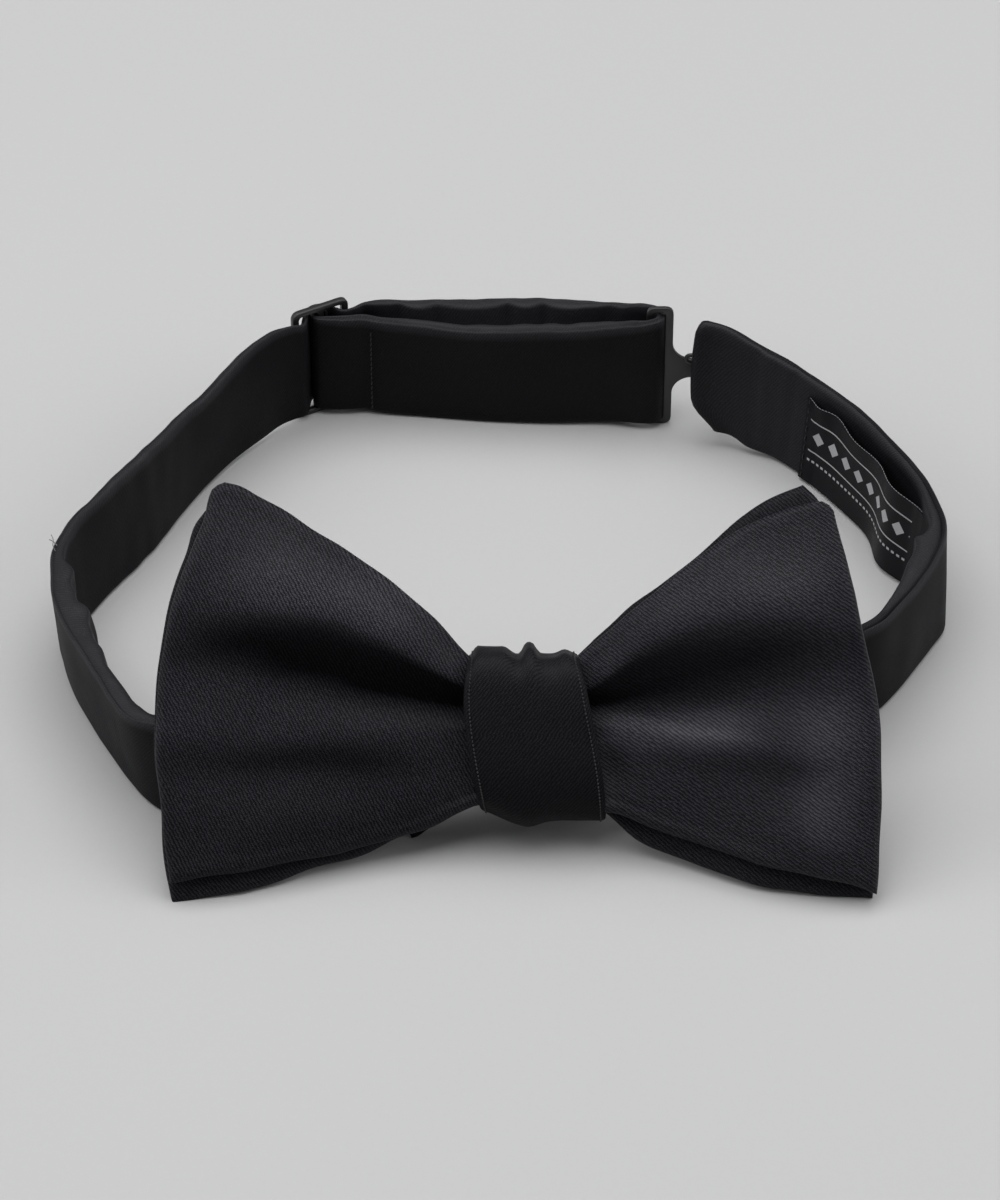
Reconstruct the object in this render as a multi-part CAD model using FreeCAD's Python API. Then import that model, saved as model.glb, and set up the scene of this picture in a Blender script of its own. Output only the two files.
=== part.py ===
import FreeCAD, Part
import math
import os

# Black satin bow tie on an adjustable neckband, lying closed on a table.
# Millimetres, +Z up, +X to the wearer's left as seen from the front, origin on the table under
# the middle of the whole tie.  The neckband stands on its lower edge and the bow leans back.

Vector = FreeCAD.Vector

# ---- driving dimensions -------------------------------------------------------------------
BAND_HEIGHT = 20.0          # width of the neckband strap
BAND_THICK = 2.1            # satin, interlining, satin
SATIN = 0.45                # one satin ply
PLY_GAP = 0.15              # air between a ply and its interlining
BOW_GAP = 0.35              # the same in the bow, whose plies bulge apart
PRESS = 0.12                # the lower edges are pressed this much flat on the table
THIN_STRAP = 1.0            # strap squeezed where it passes metal

BOW_TILT = 38.0             # the bow leans back from upright
BOW_FOOT_Y = -61.5          # where the bow plane meets the table
BOW_SHIFT_X = -0.5          # bow plane's u = 0 in X

KNOT_MIDDLE = (5.4, 26.3)   # u, v of the knot's centre in the bow plane
KNOT_WIDTH = 19.6
KNOT_HEIGHT = 26.6
KNOT_FRONT = 0.9            # depth of the knot's front face
KNOT_BACK = -15.2
KNOT_WALL = 1.7
KNOT_CORNER = 3.2
KNOT_LEAN = 6.5             # the knot's top leans to -X

METAL = 0.8                 # sheet metal of the hook
RAIL = 1.0                  # bottom and top rails of hook and slider

SLIDER_CENTRE = (-30.8, 57.3)
SLIDER_ANGLE = 28.0
SLIDER_LENGTH = 10.4
SLIDER_HEIGHT = 22.5
SLIDER_BAR = 1.2
SLIDER_METAL = 1.2
STRAP_RISE = 1.15           # the strap stands on the rails inside the metal pieces

HOOK_Y = 53.7               # plane of the hook plate
HOOK_AXIS_X = 24.6          # slot bar that the strap folds round
HOOK_BAR = 1.2
HOOK_SLOT = 1.9
HOOK_BODY = 1.4             # upright between the slot and the neck
HOOK_HEIGHT = 25.0
NECK_HEIGHT = 3.7
NECK_MIDDLE_Z = 12.0
HOOK_END_X = 43.4
HOOK_GAP = 1.3              # room inside the J
HOOK_TIP = 4.6              # length of the J's return
TIP_METAL = 0.6

EYE_X = 34.2
EYE_Y = 52.65
EYE_WIRE = 0.45             # wire radius
EYE_LOW = 9.0
EYE_HIGH = 15.0

EYE_FOOT = (39.0, 51.95)    # where both legs of the eye end, sewn to the strap
EYE_TAIL = (31.7, 15.3)     # x and height of the upper leg's cut end

END_ROLL_OUTER = 1.5        # strap end rolled round the slider's middle bar
END_ROLL_INNER = 0.9

BARTACK_PLACE = (-22.3, 54.95)
BARTACK_FIRST = 2.0
BARTACK_PITCH = 2.0
BARTACK_COUNT = 9

KNOT_STITCHES = 5
KNOT_STITCH_PITCH = 3.0
THREAD = 0.13               # radius of the sewing thread
THREAD_CLEAR = 0.03         # air between a stitch and what it holds

LABEL_THICK = 0.35
LABEL_HEIGHT = 17.0
LABEL_FOOT = 0.9
LABEL_STITCHES = 7
LABEL_STITCH_PITCH = 2.2

# ---- bow layers: u along the bow, lowest v, highest v, front depth, thickness, puff ---------
FRONT_BOW = [
    (-52.3, 9.0, 34.0, 2.2, 2.2, 0.0),
    (-50.5, 3.0, 43.5, 3.2, 2.6, 0.2),
    (-44.0, 3.6, 62.5, 3.6, 2.8, 0.6),
    (-37.0, 5.0, 62.0, 3.4, 2.8, 1.0),
    (-24.0, 8.5, 54.5, 2.2, 2.8, 1.6),
    (-13.0, 12.0, 46.0, 0.2, 2.8, 1.2),
    (-5.2, 14.6, 35.4, -1.5, 2.4, 0.0),
    (5.4, 15.4, 36.6, -1.5, 2.4, 0.0),
    (16.0, 16.8, 37.6, -1.5, 2.4, 0.0),
    (24.5, 10.5, 47.0, 0.2, 2.8, 1.2),
    (36.0, 5.4, 56.5, 2.2, 2.8, 1.6),
    (48.0, 3.2, 61.2, 3.4, 2.8, 1.0),
    (53.5, 2.6, 50.0, 3.6, 2.8, 0.6),
    (57.6, 6.0, 30.0, 2.4, 2.2, 0.0),
]
BACK_BOW = [
    (-51.0, 10.0, 36.0, -0.6, 1.8, 0.0),
    (-49.5, 1.8, 46.0, -0.2, 2.0, 0.2),
    (-44.0, 1.6, 64.0, -0.1, 2.1, 0.6),
    (-37.0, 2.6, 62.8, -0.2, 2.1, 1.0),
    (-24.0, 6.5, 54.8, -1.4, 2.2, 1.6),
    (-13.0, 11.5, 46.3, -3.3, 2.4, 1.2),
    (-5.2, 14.6, 35.4, -5.6, 2.6, 0.0),
    (5.4, 15.4, 36.6, -5.6, 2.6, 0.0),
    (16.0, 16.8, 37.6, -5.6, 2.6, 0.0),
    (24.5, 9.8, 48.8, -3.3, 2.4, 1.2),
    (36.0, 4.4, 58.6, -1.4, 2.2, 1.6),
    (44.0, 2.2, 63.4, -0.5, 2.1, 1.2),
    (47.5, 1.6, 64.2, -0.2, 2.1, 1.0),
    (56.3, 1.4, 34.0, -0.3, 2.0, 0.1),
    (57.6, 8.0, 26.0, -0.6, 1.8, 0.0),
]

# ---- neckband routes: x, y of the strap's middle, height of its lower edge, outward lean ----
LEFT_ROUTE = [
    (-15.0, -46.3, 3.4, -35.0),
    (-27.0, -46.0, 0.5, -26.0),
    (-38.0, -46.0, 0.0, -16.0),
    (-47.0, -43.6, 0.0, -7.0),
    (-53.3, -39.4, 0.0, 2.0),
    (-57.7, -34.3, 0.0, 3.0),
    (-61.1, -28.8, 0.0, 3.0),
    (-64.7, -21.9, 0.0, 4.0),
    (-67.6, -14.8, 0.0, 3.0),
    (-69.8, -7.0, 0.0, 1.0),
    (-71.0, -1.4, 0.0, 2.0),
    (-68.2, 3.4, 0.0, 4.0),
    (-65.1, 9.5, 0.0, 4.0),
    (-61.9, 15.2, 0.0, 4.0),
    (-58.9, 20.8, 0.0, 3.0),
    (-56.0, 27.2, 0.0, 1.0),
    (-53.4, 32.6, 0.0, 0.0),
    (-50.3, 37.6, 0.2, -2.0),
    (-45.6, 43.4, 0.5, -2.0),
    (-41.0, 48.3, 0.9, -1.0),
]
RIGHT_ROUTE = [
    (24.5, -39.3, 3.0, -31.0),
    (34.5, -35.0, 0.8, -20.0),
    (44.5, -28.9, 0.0, -10.0),
    (52.5, -22.9, 0.0, -3.0),
    (59.4, -17.2, 0.0, 1.0),
    (62.8, -14.2, 0.0, 2.0),
    (66.1, -10.4, 0.0, 2.0),
    (68.8, -5.8, 0.0, 3.0),
    (70.8, 0.0, 0.0, 3.0),
    (69.3, 6.0, 0.0, 7.0),
    (66.3, 12.4, 0.0, 8.0),
    (63.8, 18.8, 0.0, 5.0),
    (62.0, 23.6, 0.0, 2.0),
    (59.4, 28.8, 0.0, 1.0),
    (56.2, 33.9, 0.0, 1.0),
    (51.0, 40.5, 0.0, 2.0),
    (45.9, 45.2, 0.0, 4.0),
    (41.2, 47.9, 0.5, 6.0),
    (37.8, 49.5, 1.6, 3.0),
    (35.2, 50.3, 2.7, 1.0),
    (32.4, 50.5, 4.0, 0.0),
]
LABEL_FIRST = 9             # stations of the right route that the label spans
LABEL_LAST = 16
LABEL_STANDOFF = 1.5        # label's middle from the strap's middle, at its sewn ends
LABEL_SAG = 0.8             # how far its middle hangs off the strap

BACK_LAYER = [
    (-22.4, 60.6, 0.9, 0.0),
    (-14.0, 61.0, 0.2, 0.0),
    (-4.0, 61.4, 0.0, 0.0),
    (5.0, 61.6, 0.0, 0.0),
    (12.5, 61.2, 0.3, 0.0),
    (17.6, 60.6, 0.9, 0.0),
]
FOLD = [
    (18.6, 60.5, 1.2, 0.0),
    (21.6, 59.4, 1.3, 0.0),
    (23.7, 57.6, 1.3, 0.0),
    (25.2, 55.8, 1.3, 0.0),
    (26.05, 54.7, 1.3, 0.0),
    (26.2, 53.6, 1.3, 0.0),
    (25.6, 52.6, 1.3, 0.0),
    (24.3, 52.4, 1.3, 0.0),
    (22.6, 52.5, 1.2, 0.0),
]
# From the roll on the middle bar (a along the slider, b out of its face) to the front layer.
TONGUE = [(0.1, -1.75), (1.9, -2.55), (4.2, -3.4)]
TONGUE_END = (-21.0, 56.2, 0.7, 0.0)
TONGUE_THICK = [1.0, 1.0, 1.6, 2.0]
FRONT_LAYER = [
    (22.2, 52.6, 1.1, 0.0),
    (19.0, 53.2, 0.8, 0.0),
    (10.0, 53.6, 0.3, 0.0),
    (-5.0, 54.6, 0.0, 0.0),
    (-14.0, 55.6, 0.1, 0.0),
    (-20.6, 56.2, 0.6, 0.0),
]

os.makedirs("parts", exist_ok=True)


# ---- helpers ------------------------------------------------------------------------------
def save(node, shape):
    """Write one node's STEP file."""
    shape.exportStep(os.path.join("parts", node + ".step"))


def above_table(shape):
    """Cut away whatever would pass through the table, leaving a flat lower edge."""
    size = 400.0
    block = Part.makeBox(size, size, size, Vector(-size / 2, -size / 2, 0.0))
    return shape.common(block)


def unit(x, y):
    length = math.hypot(x, y)
    return x / length, y / length


def heading(route, index):
    """Direction of travel at one station, averaged over its two runs."""
    before = route[max(index - 1, 0)]
    here = route[index]
    after = route[min(index + 1, len(route) - 1)]
    ax, ay = (0.0, 0.0) if index == 0 else unit(here[0] - before[0], here[1] - before[1])
    last = index == len(route) - 1
    bx, by = (0.0, 0.0) if last else unit(after[0] - here[0], after[1] - here[1])
    return unit(ax + bx, ay + by)


def strap_section(station, direction, side, height, thick, offset=0.0, foot=0.0):
    """Upright rectangle across the strap; side is +1 where outward lies to the left of travel."""
    x, y, low, lean = station
    out_x, out_y = -direction[1] * side, direction[0] * side
    angle = math.radians(lean)
    up = Vector(out_x * math.sin(angle), out_y * math.sin(angle), math.cos(angle))
    out = Vector(out_x * math.cos(angle), out_y * math.cos(angle), -math.sin(angle))
    base = Vector(x, y, low) + up * foot + out * offset
    corners = [
        base - out * (thick / 2),
        base + out * (thick / 2),
        base + out * (thick / 2) + up * height,
        base - out * (thick / 2) + up * height,
    ]
    return Part.makePolygon(corners + [corners[0]])


def strap(route, side, height=BAND_HEIGHT, thick=BAND_THICK, foot=0.0, offsets=None):
    """Strap standing on edge along a route; thick is one value or one per station."""
    thicks = thick if isinstance(thick, list) else [thick] * len(route)
    offsets = offsets or [0.0] * len(route)
    wires = []
    for index, station in enumerate(route):
        direction = heading(route, index)
        wires.append(strap_section(station, direction, side, height, thicks[index], offsets[index], foot))
    return Part.makeLoft(wires, True, True)


def pulled_in(route, amount):
    """The same route with both ends drawn in."""
    first_x, first_y = heading(route, 0)
    last_x, last_y = heading(route, len(route) - 1)
    x, y, low, lean = route[0]
    start = (x + first_x * amount, y + first_y * amount, low, lean)
    x, y, low, lean = route[-1]
    end = (x - last_x * amount, y - last_y * amount, low, lean)
    return [start] + route[1:-1] + [end]


def lined_strap(name, route, side):
    """Satin tube and the interlining inside it."""
    core_thick = BAND_THICK - 2 * SATIN
    core_height = BAND_HEIGHT - 2 * SATIN
    short = pulled_in(route, 2 * SATIN)
    cavity = strap(short, side, core_height, core_thick, SATIN)
    tube = above_table(strap(route, side, foot=-PRESS)).cut(cavity)
    inner = pulled_in(route, 2 * SATIN + PLY_GAP)
    core = strap(inner, side, core_height - 2 * PLY_GAP, core_thick - 2 * PLY_GAP, SATIN + PLY_GAP)
    save(name, tube)
    save(name + "_interlining", above_table(core))


def bow_point(u, v, w):
    """Point of the leaning bow plane: u along the bow, v up the plane, w out of its face."""
    tilt = math.radians(BOW_TILT)
    y = BOW_FOOT_Y + v * math.sin(tilt) - w * math.cos(tilt)
    z = v * math.cos(tilt) + w * math.sin(tilt)
    return Vector(u + BOW_SHIFT_X, y, z)


def in_knot(u, w):
    """Station of a strap that lies in the knot at depth w, parallel to the bow plane."""
    slope = math.tan(math.radians(KNOT_LEAN))
    v = KNOT_MIDDLE[1] - BAND_HEIGHT / 2 - 1.0 + (u - KNOT_MIDDLE[0]) * slope
    point = bow_point(u, v, w)
    return (point.x, point.y, point.z, -BOW_TILT)


# ---- bow ----------------------------------------------------------------------------------
def bow_section(station, inset):
    """Closed outline across one layer: puffed above and below its middle crease."""
    u, low, high, front, thick, puff = station
    low += inset
    high -= inset
    shape = [(0.0, 0.0), (0.25, puff), (0.5, -puff), (0.75, puff), (1.0, 0.0)]
    face = [bow_point(u, low + (high - low) * t, front - inset + bulge) for t, bulge in shape]
    back = [bow_point(u, low + (high - low) * t, front - thick + inset + bulge) for t, bulge in shape]
    outline = face + back[::-1]
    return Part.makePolygon(outline + [outline[0]])


def drawn_in(end, neighbour, amount):
    """The end station moved this far along the bow towards its neighbour."""
    share = amount / abs(neighbour[0] - end[0])
    return tuple(a + (b - a) * share for a, b in zip(end, neighbour))


def bow_layer(stations, inset=0.0):
    first = drawn_in(stations[0], stations[1], inset)
    last = drawn_in(stations[-1], stations[-2], inset)
    trimmed = [first] + stations[1:-1] + [last]
    return Part.makeLoft([bow_section(station, inset) for station in trimmed], True, True)


def make_bow(name, stations):
    """One bow layer: a satin case and its interlining."""
    case = above_table(bow_layer(stations)).cut(bow_layer(stations, SATIN))
    save(name, case)
    save(name + "_interlining", above_table(bow_layer(stations, SATIN + BOW_GAP)))


# ---- knot ---------------------------------------------------------------------------------
def knot_prism(inset, width):
    """Rounded block of the knot's outline drawn in by inset, in the bow plane's directions."""
    mid_u, mid_v = KNOT_MIDDLE
    low, high = -KNOT_HEIGHT / 2 + inset, KNOT_HEIGHT / 2 - inset
    back, front = KNOT_BACK + inset, KNOT_FRONT - inset
    box = Part.makeBox(width, front - back, high - low, Vector(-width / 2, -front, low))
    along = [edge for edge in box.Edges if abs(edge.Vertexes[0].X - edge.Vertexes[1].X) > width / 2]
    block = box.makeFillet(max(KNOT_CORNER - inset, 0.8), along)
    block.rotate(Vector(0, 0, 0), Vector(0, 1, 0), -KNOT_LEAN)
    block.rotate(Vector(0, 0, 0), Vector(1, 0, 0), -BOW_TILT)
    block.translate(bow_point(mid_u, mid_v, 0.0))
    return block


def make_knot():
    """Centre band wrapped round both bow layers and the neckband."""
    hollow = KNOT_WIDTH + 10.0
    ring = knot_prism(0.0, KNOT_WIDTH).cut(knot_prism(KNOT_WALL, hollow))
    core_width = KNOT_WIDTH - 2 * SATIN
    inner_ply = KNOT_WALL - SATIN
    pocket = knot_prism(SATIN, core_width).cut(knot_prism(inner_ply, hollow))
    save("knot_band", above_table(ring.cut(pocket)))
    core = knot_prism(SATIN + PLY_GAP, core_width - 2 * PLY_GAP)
    save("knot_interlining", core.cut(knot_prism(inner_ply - PLY_GAP, hollow)))


def make_knot_stitches():
    """Whip stitches closing the knot band at its back."""
    stitches = []
    depth = KNOT_BACK - THREAD - 2 * THREAD_CLEAR
    half_width, half_height = 0.6, 1.0
    for index in range(KNOT_STITCHES):
        u = KNOT_MIDDLE[0] + (index - (KNOT_STITCHES - 1) / 2) * KNOT_STITCH_PITCH
        low = bow_point(u - half_width, KNOT_MIDDLE[1] - half_height, depth)
        high = bow_point(u + half_width, KNOT_MIDDLE[1] + half_height, depth)
        stitches.append(Part.makeCylinder(THREAD, (high - low).Length, low, high - low))
    save("knot_back_stitches", Part.makeCompound(stitches))


# ---- slider -------------------------------------------------------------------------------
def slider_place(a, b, low=STRAP_RISE):
    """Station at a along the slider and b out of its outer face."""
    angle = math.radians(SLIDER_ANGLE)
    x = SLIDER_CENTRE[0] + a * math.cos(angle) - b * math.sin(angle)
    y = SLIDER_CENTRE[1] + a * math.sin(angle) + b * math.cos(angle)
    return (x, y, low, 0.0)


def set_on_slider(shape):
    shape.rotate(Vector(0, 0, 0), Vector(0, 0, 1), SLIDER_ANGLE)
    shape.translate(Vector(SLIDER_CENTRE[0], SLIDER_CENTRE[1], 0.0))
    return shape


def make_slider():
    """Three-bar frame with rounded corners and two slots."""
    half = SLIDER_LENGTH / 2
    plate = Part.makeBox(SLIDER_LENGTH, SLIDER_METAL, SLIDER_HEIGHT, Vector(-half, -SLIDER_METAL / 2, 0.0))
    corners = [edge for edge in plate.Edges if abs(edge.Vertexes[0].Y - edge.Vertexes[1].Y) > SLIDER_METAL / 2]
    plate = plate.makeFillet(1.1, corners)
    slot = (SLIDER_LENGTH - 3 * SLIDER_BAR) / 2
    for start in (-half + SLIDER_BAR, SLIDER_BAR / 2):
        low = Vector(start, -SLIDER_METAL, RAIL)
        plate = plate.cut(Part.makeBox(slot, 2 * SLIDER_METAL, SLIDER_HEIGHT - 2 * RAIL, low))
    save("slider", set_on_slider(plate))


def make_band_through_slider():
    """The stretch of strap that weaves in front of both outer bars and behind the middle one."""
    half = [(5.6, -1.45), (3.9, -1.45), (2.75, 0.0), (1.1, 1.85)]
    weave = [(-8.2, -1.6)] + [(-a, b) for a, b in half] + [(0.0, 2.15)] + half[::-1] + [(8.0, -1.0)]
    route = [slider_place(a, b) for a, b in weave]
    save("band_through_slider", strap(route, 1, thick=THIN_STRAP))


def make_strap_end_turn():
    """Sewn end of the strap, turned round the slider's middle bar and back on itself."""
    foot = Vector(0, 0, STRAP_RISE)
    tube = Part.makeCylinder(END_ROLL_OUTER, BAND_HEIGHT, foot)
    tube = tube.cut(Part.makeCylinder(END_ROLL_INNER, BAND_HEIGHT, foot))
    tube = set_on_slider(tube)
    tongue = [slider_place(a, b) for a, b in TONGUE] + [TONGUE_END]
    save("strap_end_turn", tube.fuse(strap(tongue, 1, thick=TONGUE_THICK)).removeSplitter())


def make_bartack():
    """Short upright row of stitches that holds the turned end."""
    stitches = []
    width, depth, height = 0.25, 0.2, 1.2
    for index in range(BARTACK_COUNT):
        low = BARTACK_FIRST + index * BARTACK_PITCH
        stitches.append(Part.makeBox(width, depth, height, Vector(*BARTACK_PLACE, low)))
    save("bartack_stitches", Part.makeCompound(stitches))


# ---- loop ---------------------------------------------------------------------------------
def make_loop():
    """Doubled strap between the slider and the hook."""
    back = strap(BACK_LAYER, 1, thick=[1.0] + [1.8] * 4 + [1.4], foot=-PRESS)
    front = strap(FRONT_LAYER, 1, thick=[1.4, 2.0] + [BAND_THICK] * 4, foot=-PRESS)
    save("loop_back_layer", above_table(back))
    save("loop_front_layer", above_table(front))
    save("loop_fold", strap(FOLD, 1, thick=1.1))


# ---- hook and eye -------------------------------------------------------------------------
def make_hook():
    """Flat T-shaped hook: slotted head, waisted neck, end folded back into a J."""
    left = HOOK_AXIS_X - HOOK_BAR / 2
    body_left = left + HOOK_BAR + HOOK_SLOT
    body_right = body_left + HOOK_BODY
    front = HOOK_Y - METAL / 2
    head = Part.makeBox(body_right - left, METAL, HOOK_HEIGHT, Vector(left, front, 0.0))
    ends = [edge for edge in head.Edges if abs(edge.Vertexes[0].Y - edge.Vertexes[1].Y) > METAL / 2]
    head = head.makeFillet(1.0, ends)
    low = Vector(left + HOOK_BAR, front - METAL, RAIL)
    head = head.cut(Part.makeBox(HOOK_SLOT, 3 * METAL, HOOK_HEIGHT - 2 * RAIL, low))
    neck_low = NECK_MIDDLE_Z - NECK_HEIGHT / 2
    neck_high = NECK_MIDDLE_Z + NECK_HEIGHT / 2
    flare = 2.8
    outline = [
        (body_right - 0.3, neck_low - flare),
        (body_right + 0.6, neck_low - 0.9),
        (body_right + 2.4, neck_low),
        (HOOK_END_X, neck_low),
        (HOOK_END_X, neck_high),
        (body_right + 2.4, neck_high),
        (body_right + 0.6, neck_high + 0.9),
        (body_right - 0.3, neck_high + flare),
    ]
    points = [Vector(x, front, z) for x, z in outline]
    neck = Part.Face(Part.makePolygon(points + [points[0]])).extrude(Vector(0, METAL, 0))
    tip_front = front - HOOK_GAP - TIP_METAL
    turn = Part.makeBox(METAL, METAL + HOOK_GAP + TIP_METAL, NECK_HEIGHT,
                        Vector(HOOK_END_X - METAL, tip_front, neck_low))
    tip = Part.makeBox(HOOK_TIP, TIP_METAL, NECK_HEIGHT, Vector(HOOK_END_X - HOOK_TIP, tip_front, neck_low))
    save("hook", head.fuse([neck, turn, tip]).removeSplitter())


def wire(points, radius):
    """Round wire through the points, with ball corners."""
    pieces = []
    for start, end in zip(points[:-1], points[1:]):
        pieces.append(Part.makeCylinder(radius, (end - start).Length, start, end - start))
    for point in points:
        pieces.append(Part.makeSphere(radius, point))
    return pieces[0].fuse(pieces[1:]).removeSplitter()


def make_eye():
    """Bent wire eye behind the strap's end; its upper leg starts in a short tail."""
    foot_x, foot_y = EYE_FOOT
    points = [
        Vector(foot_x, foot_y, EYE_LOW),
        Vector(EYE_X, EYE_Y, EYE_LOW),
        Vector(EYE_X, EYE_Y, EYE_HIGH),
        Vector(foot_x, foot_y, EYE_HIGH),
    ]
    tail = wire([Vector(EYE_TAIL[0], EYE_Y, EYE_TAIL[1]), Vector(EYE_X, EYE_Y, EYE_HIGH)], EYE_WIRE)
    save("eye", wire(points, EYE_WIRE).fuse(tail).removeSplitter())
    stitches = []
    first_x, pitch, length = 36.4, 0.9, 1.6
    slope = (foot_y - EYE_Y) / (foot_x - EYE_X)
    for leg in (EYE_LOW, EYE_HIGH):
        for step in range(3):
            x = first_x + step * pitch
            y = EYE_Y + (x - EYE_X) * slope + EYE_WIRE + THREAD + THREAD_CLEAR
            stitches.append(Part.makeCylinder(THREAD, length, Vector(x, y, leg - length / 2)))
    save("eye_stitches", Part.makeCompound(stitches))


# ---- label --------------------------------------------------------------------------------
def make_label():
    """Woven label on the inner face of the right strap, sewn down at its two short ends."""
    stations = RIGHT_ROUTE[LABEL_FIRST:LABEL_LAST + 1]
    count = len(stations) - 1
    offsets = []
    for index in range(count + 1):
        offsets.append(-LABEL_STANDOFF - LABEL_SAG * math.sin(math.pi * index / count))
    save("label", strap(stations, -1, LABEL_HEIGHT, LABEL_THICK, LABEL_FOOT, offsets))
    stitches = []
    for end, neighbour in ((0, 1), (count, count - 1)):
        x, y, low, lean = stations[end]
        along_x, along_y = unit(stations[neighbour][0] - x, stations[neighbour][1] - y)
        sign = 1 if end == 0 else -1
        in_x, in_y = -along_y * sign, along_x * sign
        angle = math.radians(lean)
        up = Vector(-in_x * math.sin(angle), -in_y * math.sin(angle), math.cos(angle))
        stand = LABEL_STANDOFF + LABEL_THICK / 2 + 0.35
        inset, length = 0.8, 1.4
        foot = Vector(x + along_x * inset + in_x * stand, y + along_y * inset + in_y * stand, low)
        for step in range(LABEL_STITCHES):
            start = foot + up * (LABEL_FOOT + inset + step * LABEL_STITCH_PITCH)
            stitches.append(Part.makeCylinder(THREAD, length, start, up))
    save("label_stitches", Part.makeCompound(stitches))


# ---- build --------------------------------------------------------------------------------
make_bow("front_bow", FRONT_BOW)
make_bow("back_bow", BACK_BOW)
make_knot()
make_knot_stitches()

slider_end = slider_place(-8.5, -1.6)
left_route = [in_knot(14.6, -9.8), in_knot(-5.6, -9.8)] + LEFT_ROUTE + [slider_end]
lined_strap("left_band", left_route, 1)
tab = bow_point(-13.0, 12.0, -12.1)
right_route = [(tab.x, tab.y, tab.z, -BOW_TILT), in_knot(-5.6, -12.1), in_knot(16.6, -12.1)] + RIGHT_ROUTE
lined_strap("right_band", right_route, -1)

make_slider()
make_band_through_slider()
make_strap_end_turn()
make_bartack()
make_loop()
make_hook()
make_eye()
make_label()
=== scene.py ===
import math

import bmesh
import bpy
import numpy as np
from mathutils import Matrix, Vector


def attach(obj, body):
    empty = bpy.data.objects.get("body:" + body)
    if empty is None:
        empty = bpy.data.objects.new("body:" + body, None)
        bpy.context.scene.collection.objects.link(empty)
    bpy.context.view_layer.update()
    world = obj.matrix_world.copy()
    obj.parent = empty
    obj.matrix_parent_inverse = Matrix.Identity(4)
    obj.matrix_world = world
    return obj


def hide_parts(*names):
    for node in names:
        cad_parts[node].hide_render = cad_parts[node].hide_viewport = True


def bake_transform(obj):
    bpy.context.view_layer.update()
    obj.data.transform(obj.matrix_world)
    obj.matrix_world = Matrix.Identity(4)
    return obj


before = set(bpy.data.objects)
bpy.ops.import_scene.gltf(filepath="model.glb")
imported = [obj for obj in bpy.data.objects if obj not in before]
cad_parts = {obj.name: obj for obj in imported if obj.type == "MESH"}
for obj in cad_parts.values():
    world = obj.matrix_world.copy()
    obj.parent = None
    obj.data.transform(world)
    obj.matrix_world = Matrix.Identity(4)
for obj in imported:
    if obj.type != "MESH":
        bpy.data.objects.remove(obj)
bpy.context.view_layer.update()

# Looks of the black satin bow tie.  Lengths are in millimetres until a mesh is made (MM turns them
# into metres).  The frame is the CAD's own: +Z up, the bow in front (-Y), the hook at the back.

MM = 0.001
ROOT, SLIDER_BODY, FOLD_BODY = "bow_and_left_band", "slider_group", "strap_fold"
RIGHT_BODY, HOOK_BODY = "right_strap", "hook_plate"

# ---- sizes shared with the CAD
BAND_HEIGHT = 20
BAND_THICK = 2.1
BOW_TILT = math.radians(38)
BOW_FOOT_Y = -61.5
BOW_SHIFT_X = -0.5
KNOT_MIDDLE = (5.4, 26.3)
KNOT_LEAN = math.radians(6.5)
MIDDLE_U = KNOT_MIDDLE[0]
SLIDER_CENTRE = (-30.8, 57.3)
SLIDER_ANGLE = math.radians(28)
STRAP_RISE = 1.15
HOOK_Y = 53.7
EYE_X, EYE_Y, EYE_LOW, EYE_HIGH = 34.2, 52.65, 9, 15

# What a strap's station holds after x and y, unless its row says otherwise: outward lean in degrees,
# how far the inner ply stands off, thickness, height of the lower edge, rise of the upper edge.
USUAL = (0, 0, BAND_THICK, 0, 0)


def stations(rows):
    """Whole stations (x, y, lower edge, lean, thickness, ply, rise) from rows that may stop early."""
    whole = (row + USUAL[len(row) - 2:] for row in rows)
    return [(x, y, foot, lean, thick, ply, rise) for x, y, lean, ply, thick, foot, rise in whole]


LEFT_ROUTE = stations([
    (-15, -46.3, -35, 0, 2.1, 3.4), (-27, -46, -26, 0, 2.1, 0.5), (-38, -46, -16, 0.4),
    (-46, -44.3, -8, 0.8), (-51, -41.8, -1, 1.1), (-54.6, -38.6, 5, 1.2), (-57.8, -34, 6, 1),
    (-60.9, -28.8, 5.5, 0.9), (-64.6, -21.9, 5.5, 1.4), (-67.6, -14.8, 5.5, 2.2), (-69.8, -7.5, 3, 1.6, 2),
    (-70.8, -2, 1, 0.5, 1.9), (-68.2, 3.4, 4, 0.1, 2), (-65.1, 9.5, 4), (-61.9, 15.2, 4, 0.2),
    (-58.8, 20.8, 3, 0.3), (-55.6, 27.2, 1, 0.2), (-52.8, 32.6), (-49.9, 37.6, -2, 0, 2.1, 0.2, 0.3),
    (-45.6, 43.4, -2, 0, 1.9, 0.5, 0.9), (-41, 48.3, -1, 0, 1.5, 0.9, 1.3),
])
RIGHT_ROUTE = stations([
    (24.5, -39.3, -31, 0, 2.1, 3), (34.5, -35, -20, 0, 2.1, 0.8), (44.5, -28.9, -10, 0.2),
    (52.5, -22.9, -3, 0.4), (59.1, -17.8, 0, 0.3), (62.2, -13.6, 0, 0.5), (65, -9.1, 0, 1.3, 2.2),
    (68.6, -3.1, -1, 2.4, 2.2), (70.9, 1.3, -3, 2.5, 2.2), (70.5, 5.6, 0, 1.4, 2.2),
    (68.8, 10.5, 3, 0.4, 2.2), (66.3, 16, 5, 0.1, 2.2), (63.7, 21.5, 4), (61.4, 25.8, 3), (58.8, 29.8, 4),
    (55.9, 33.7, 5, 0.1), (51, 39.7, 5, 0.2), (45.6, 44.5, 6, 0.2, 2, 0.4), (41, 46.3, 8, 0.3, 2, 1.2, 0.3),
    (37.6, 47.4, 9.5, 0.3, 2, 2, 0.7), (35.2, 48, 10.5, 0.3, 2.1, 2.5, 1),
    (33.2, 48.2, 10.5, 0.3, 2.2, 2.9, 1.1),
])
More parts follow.
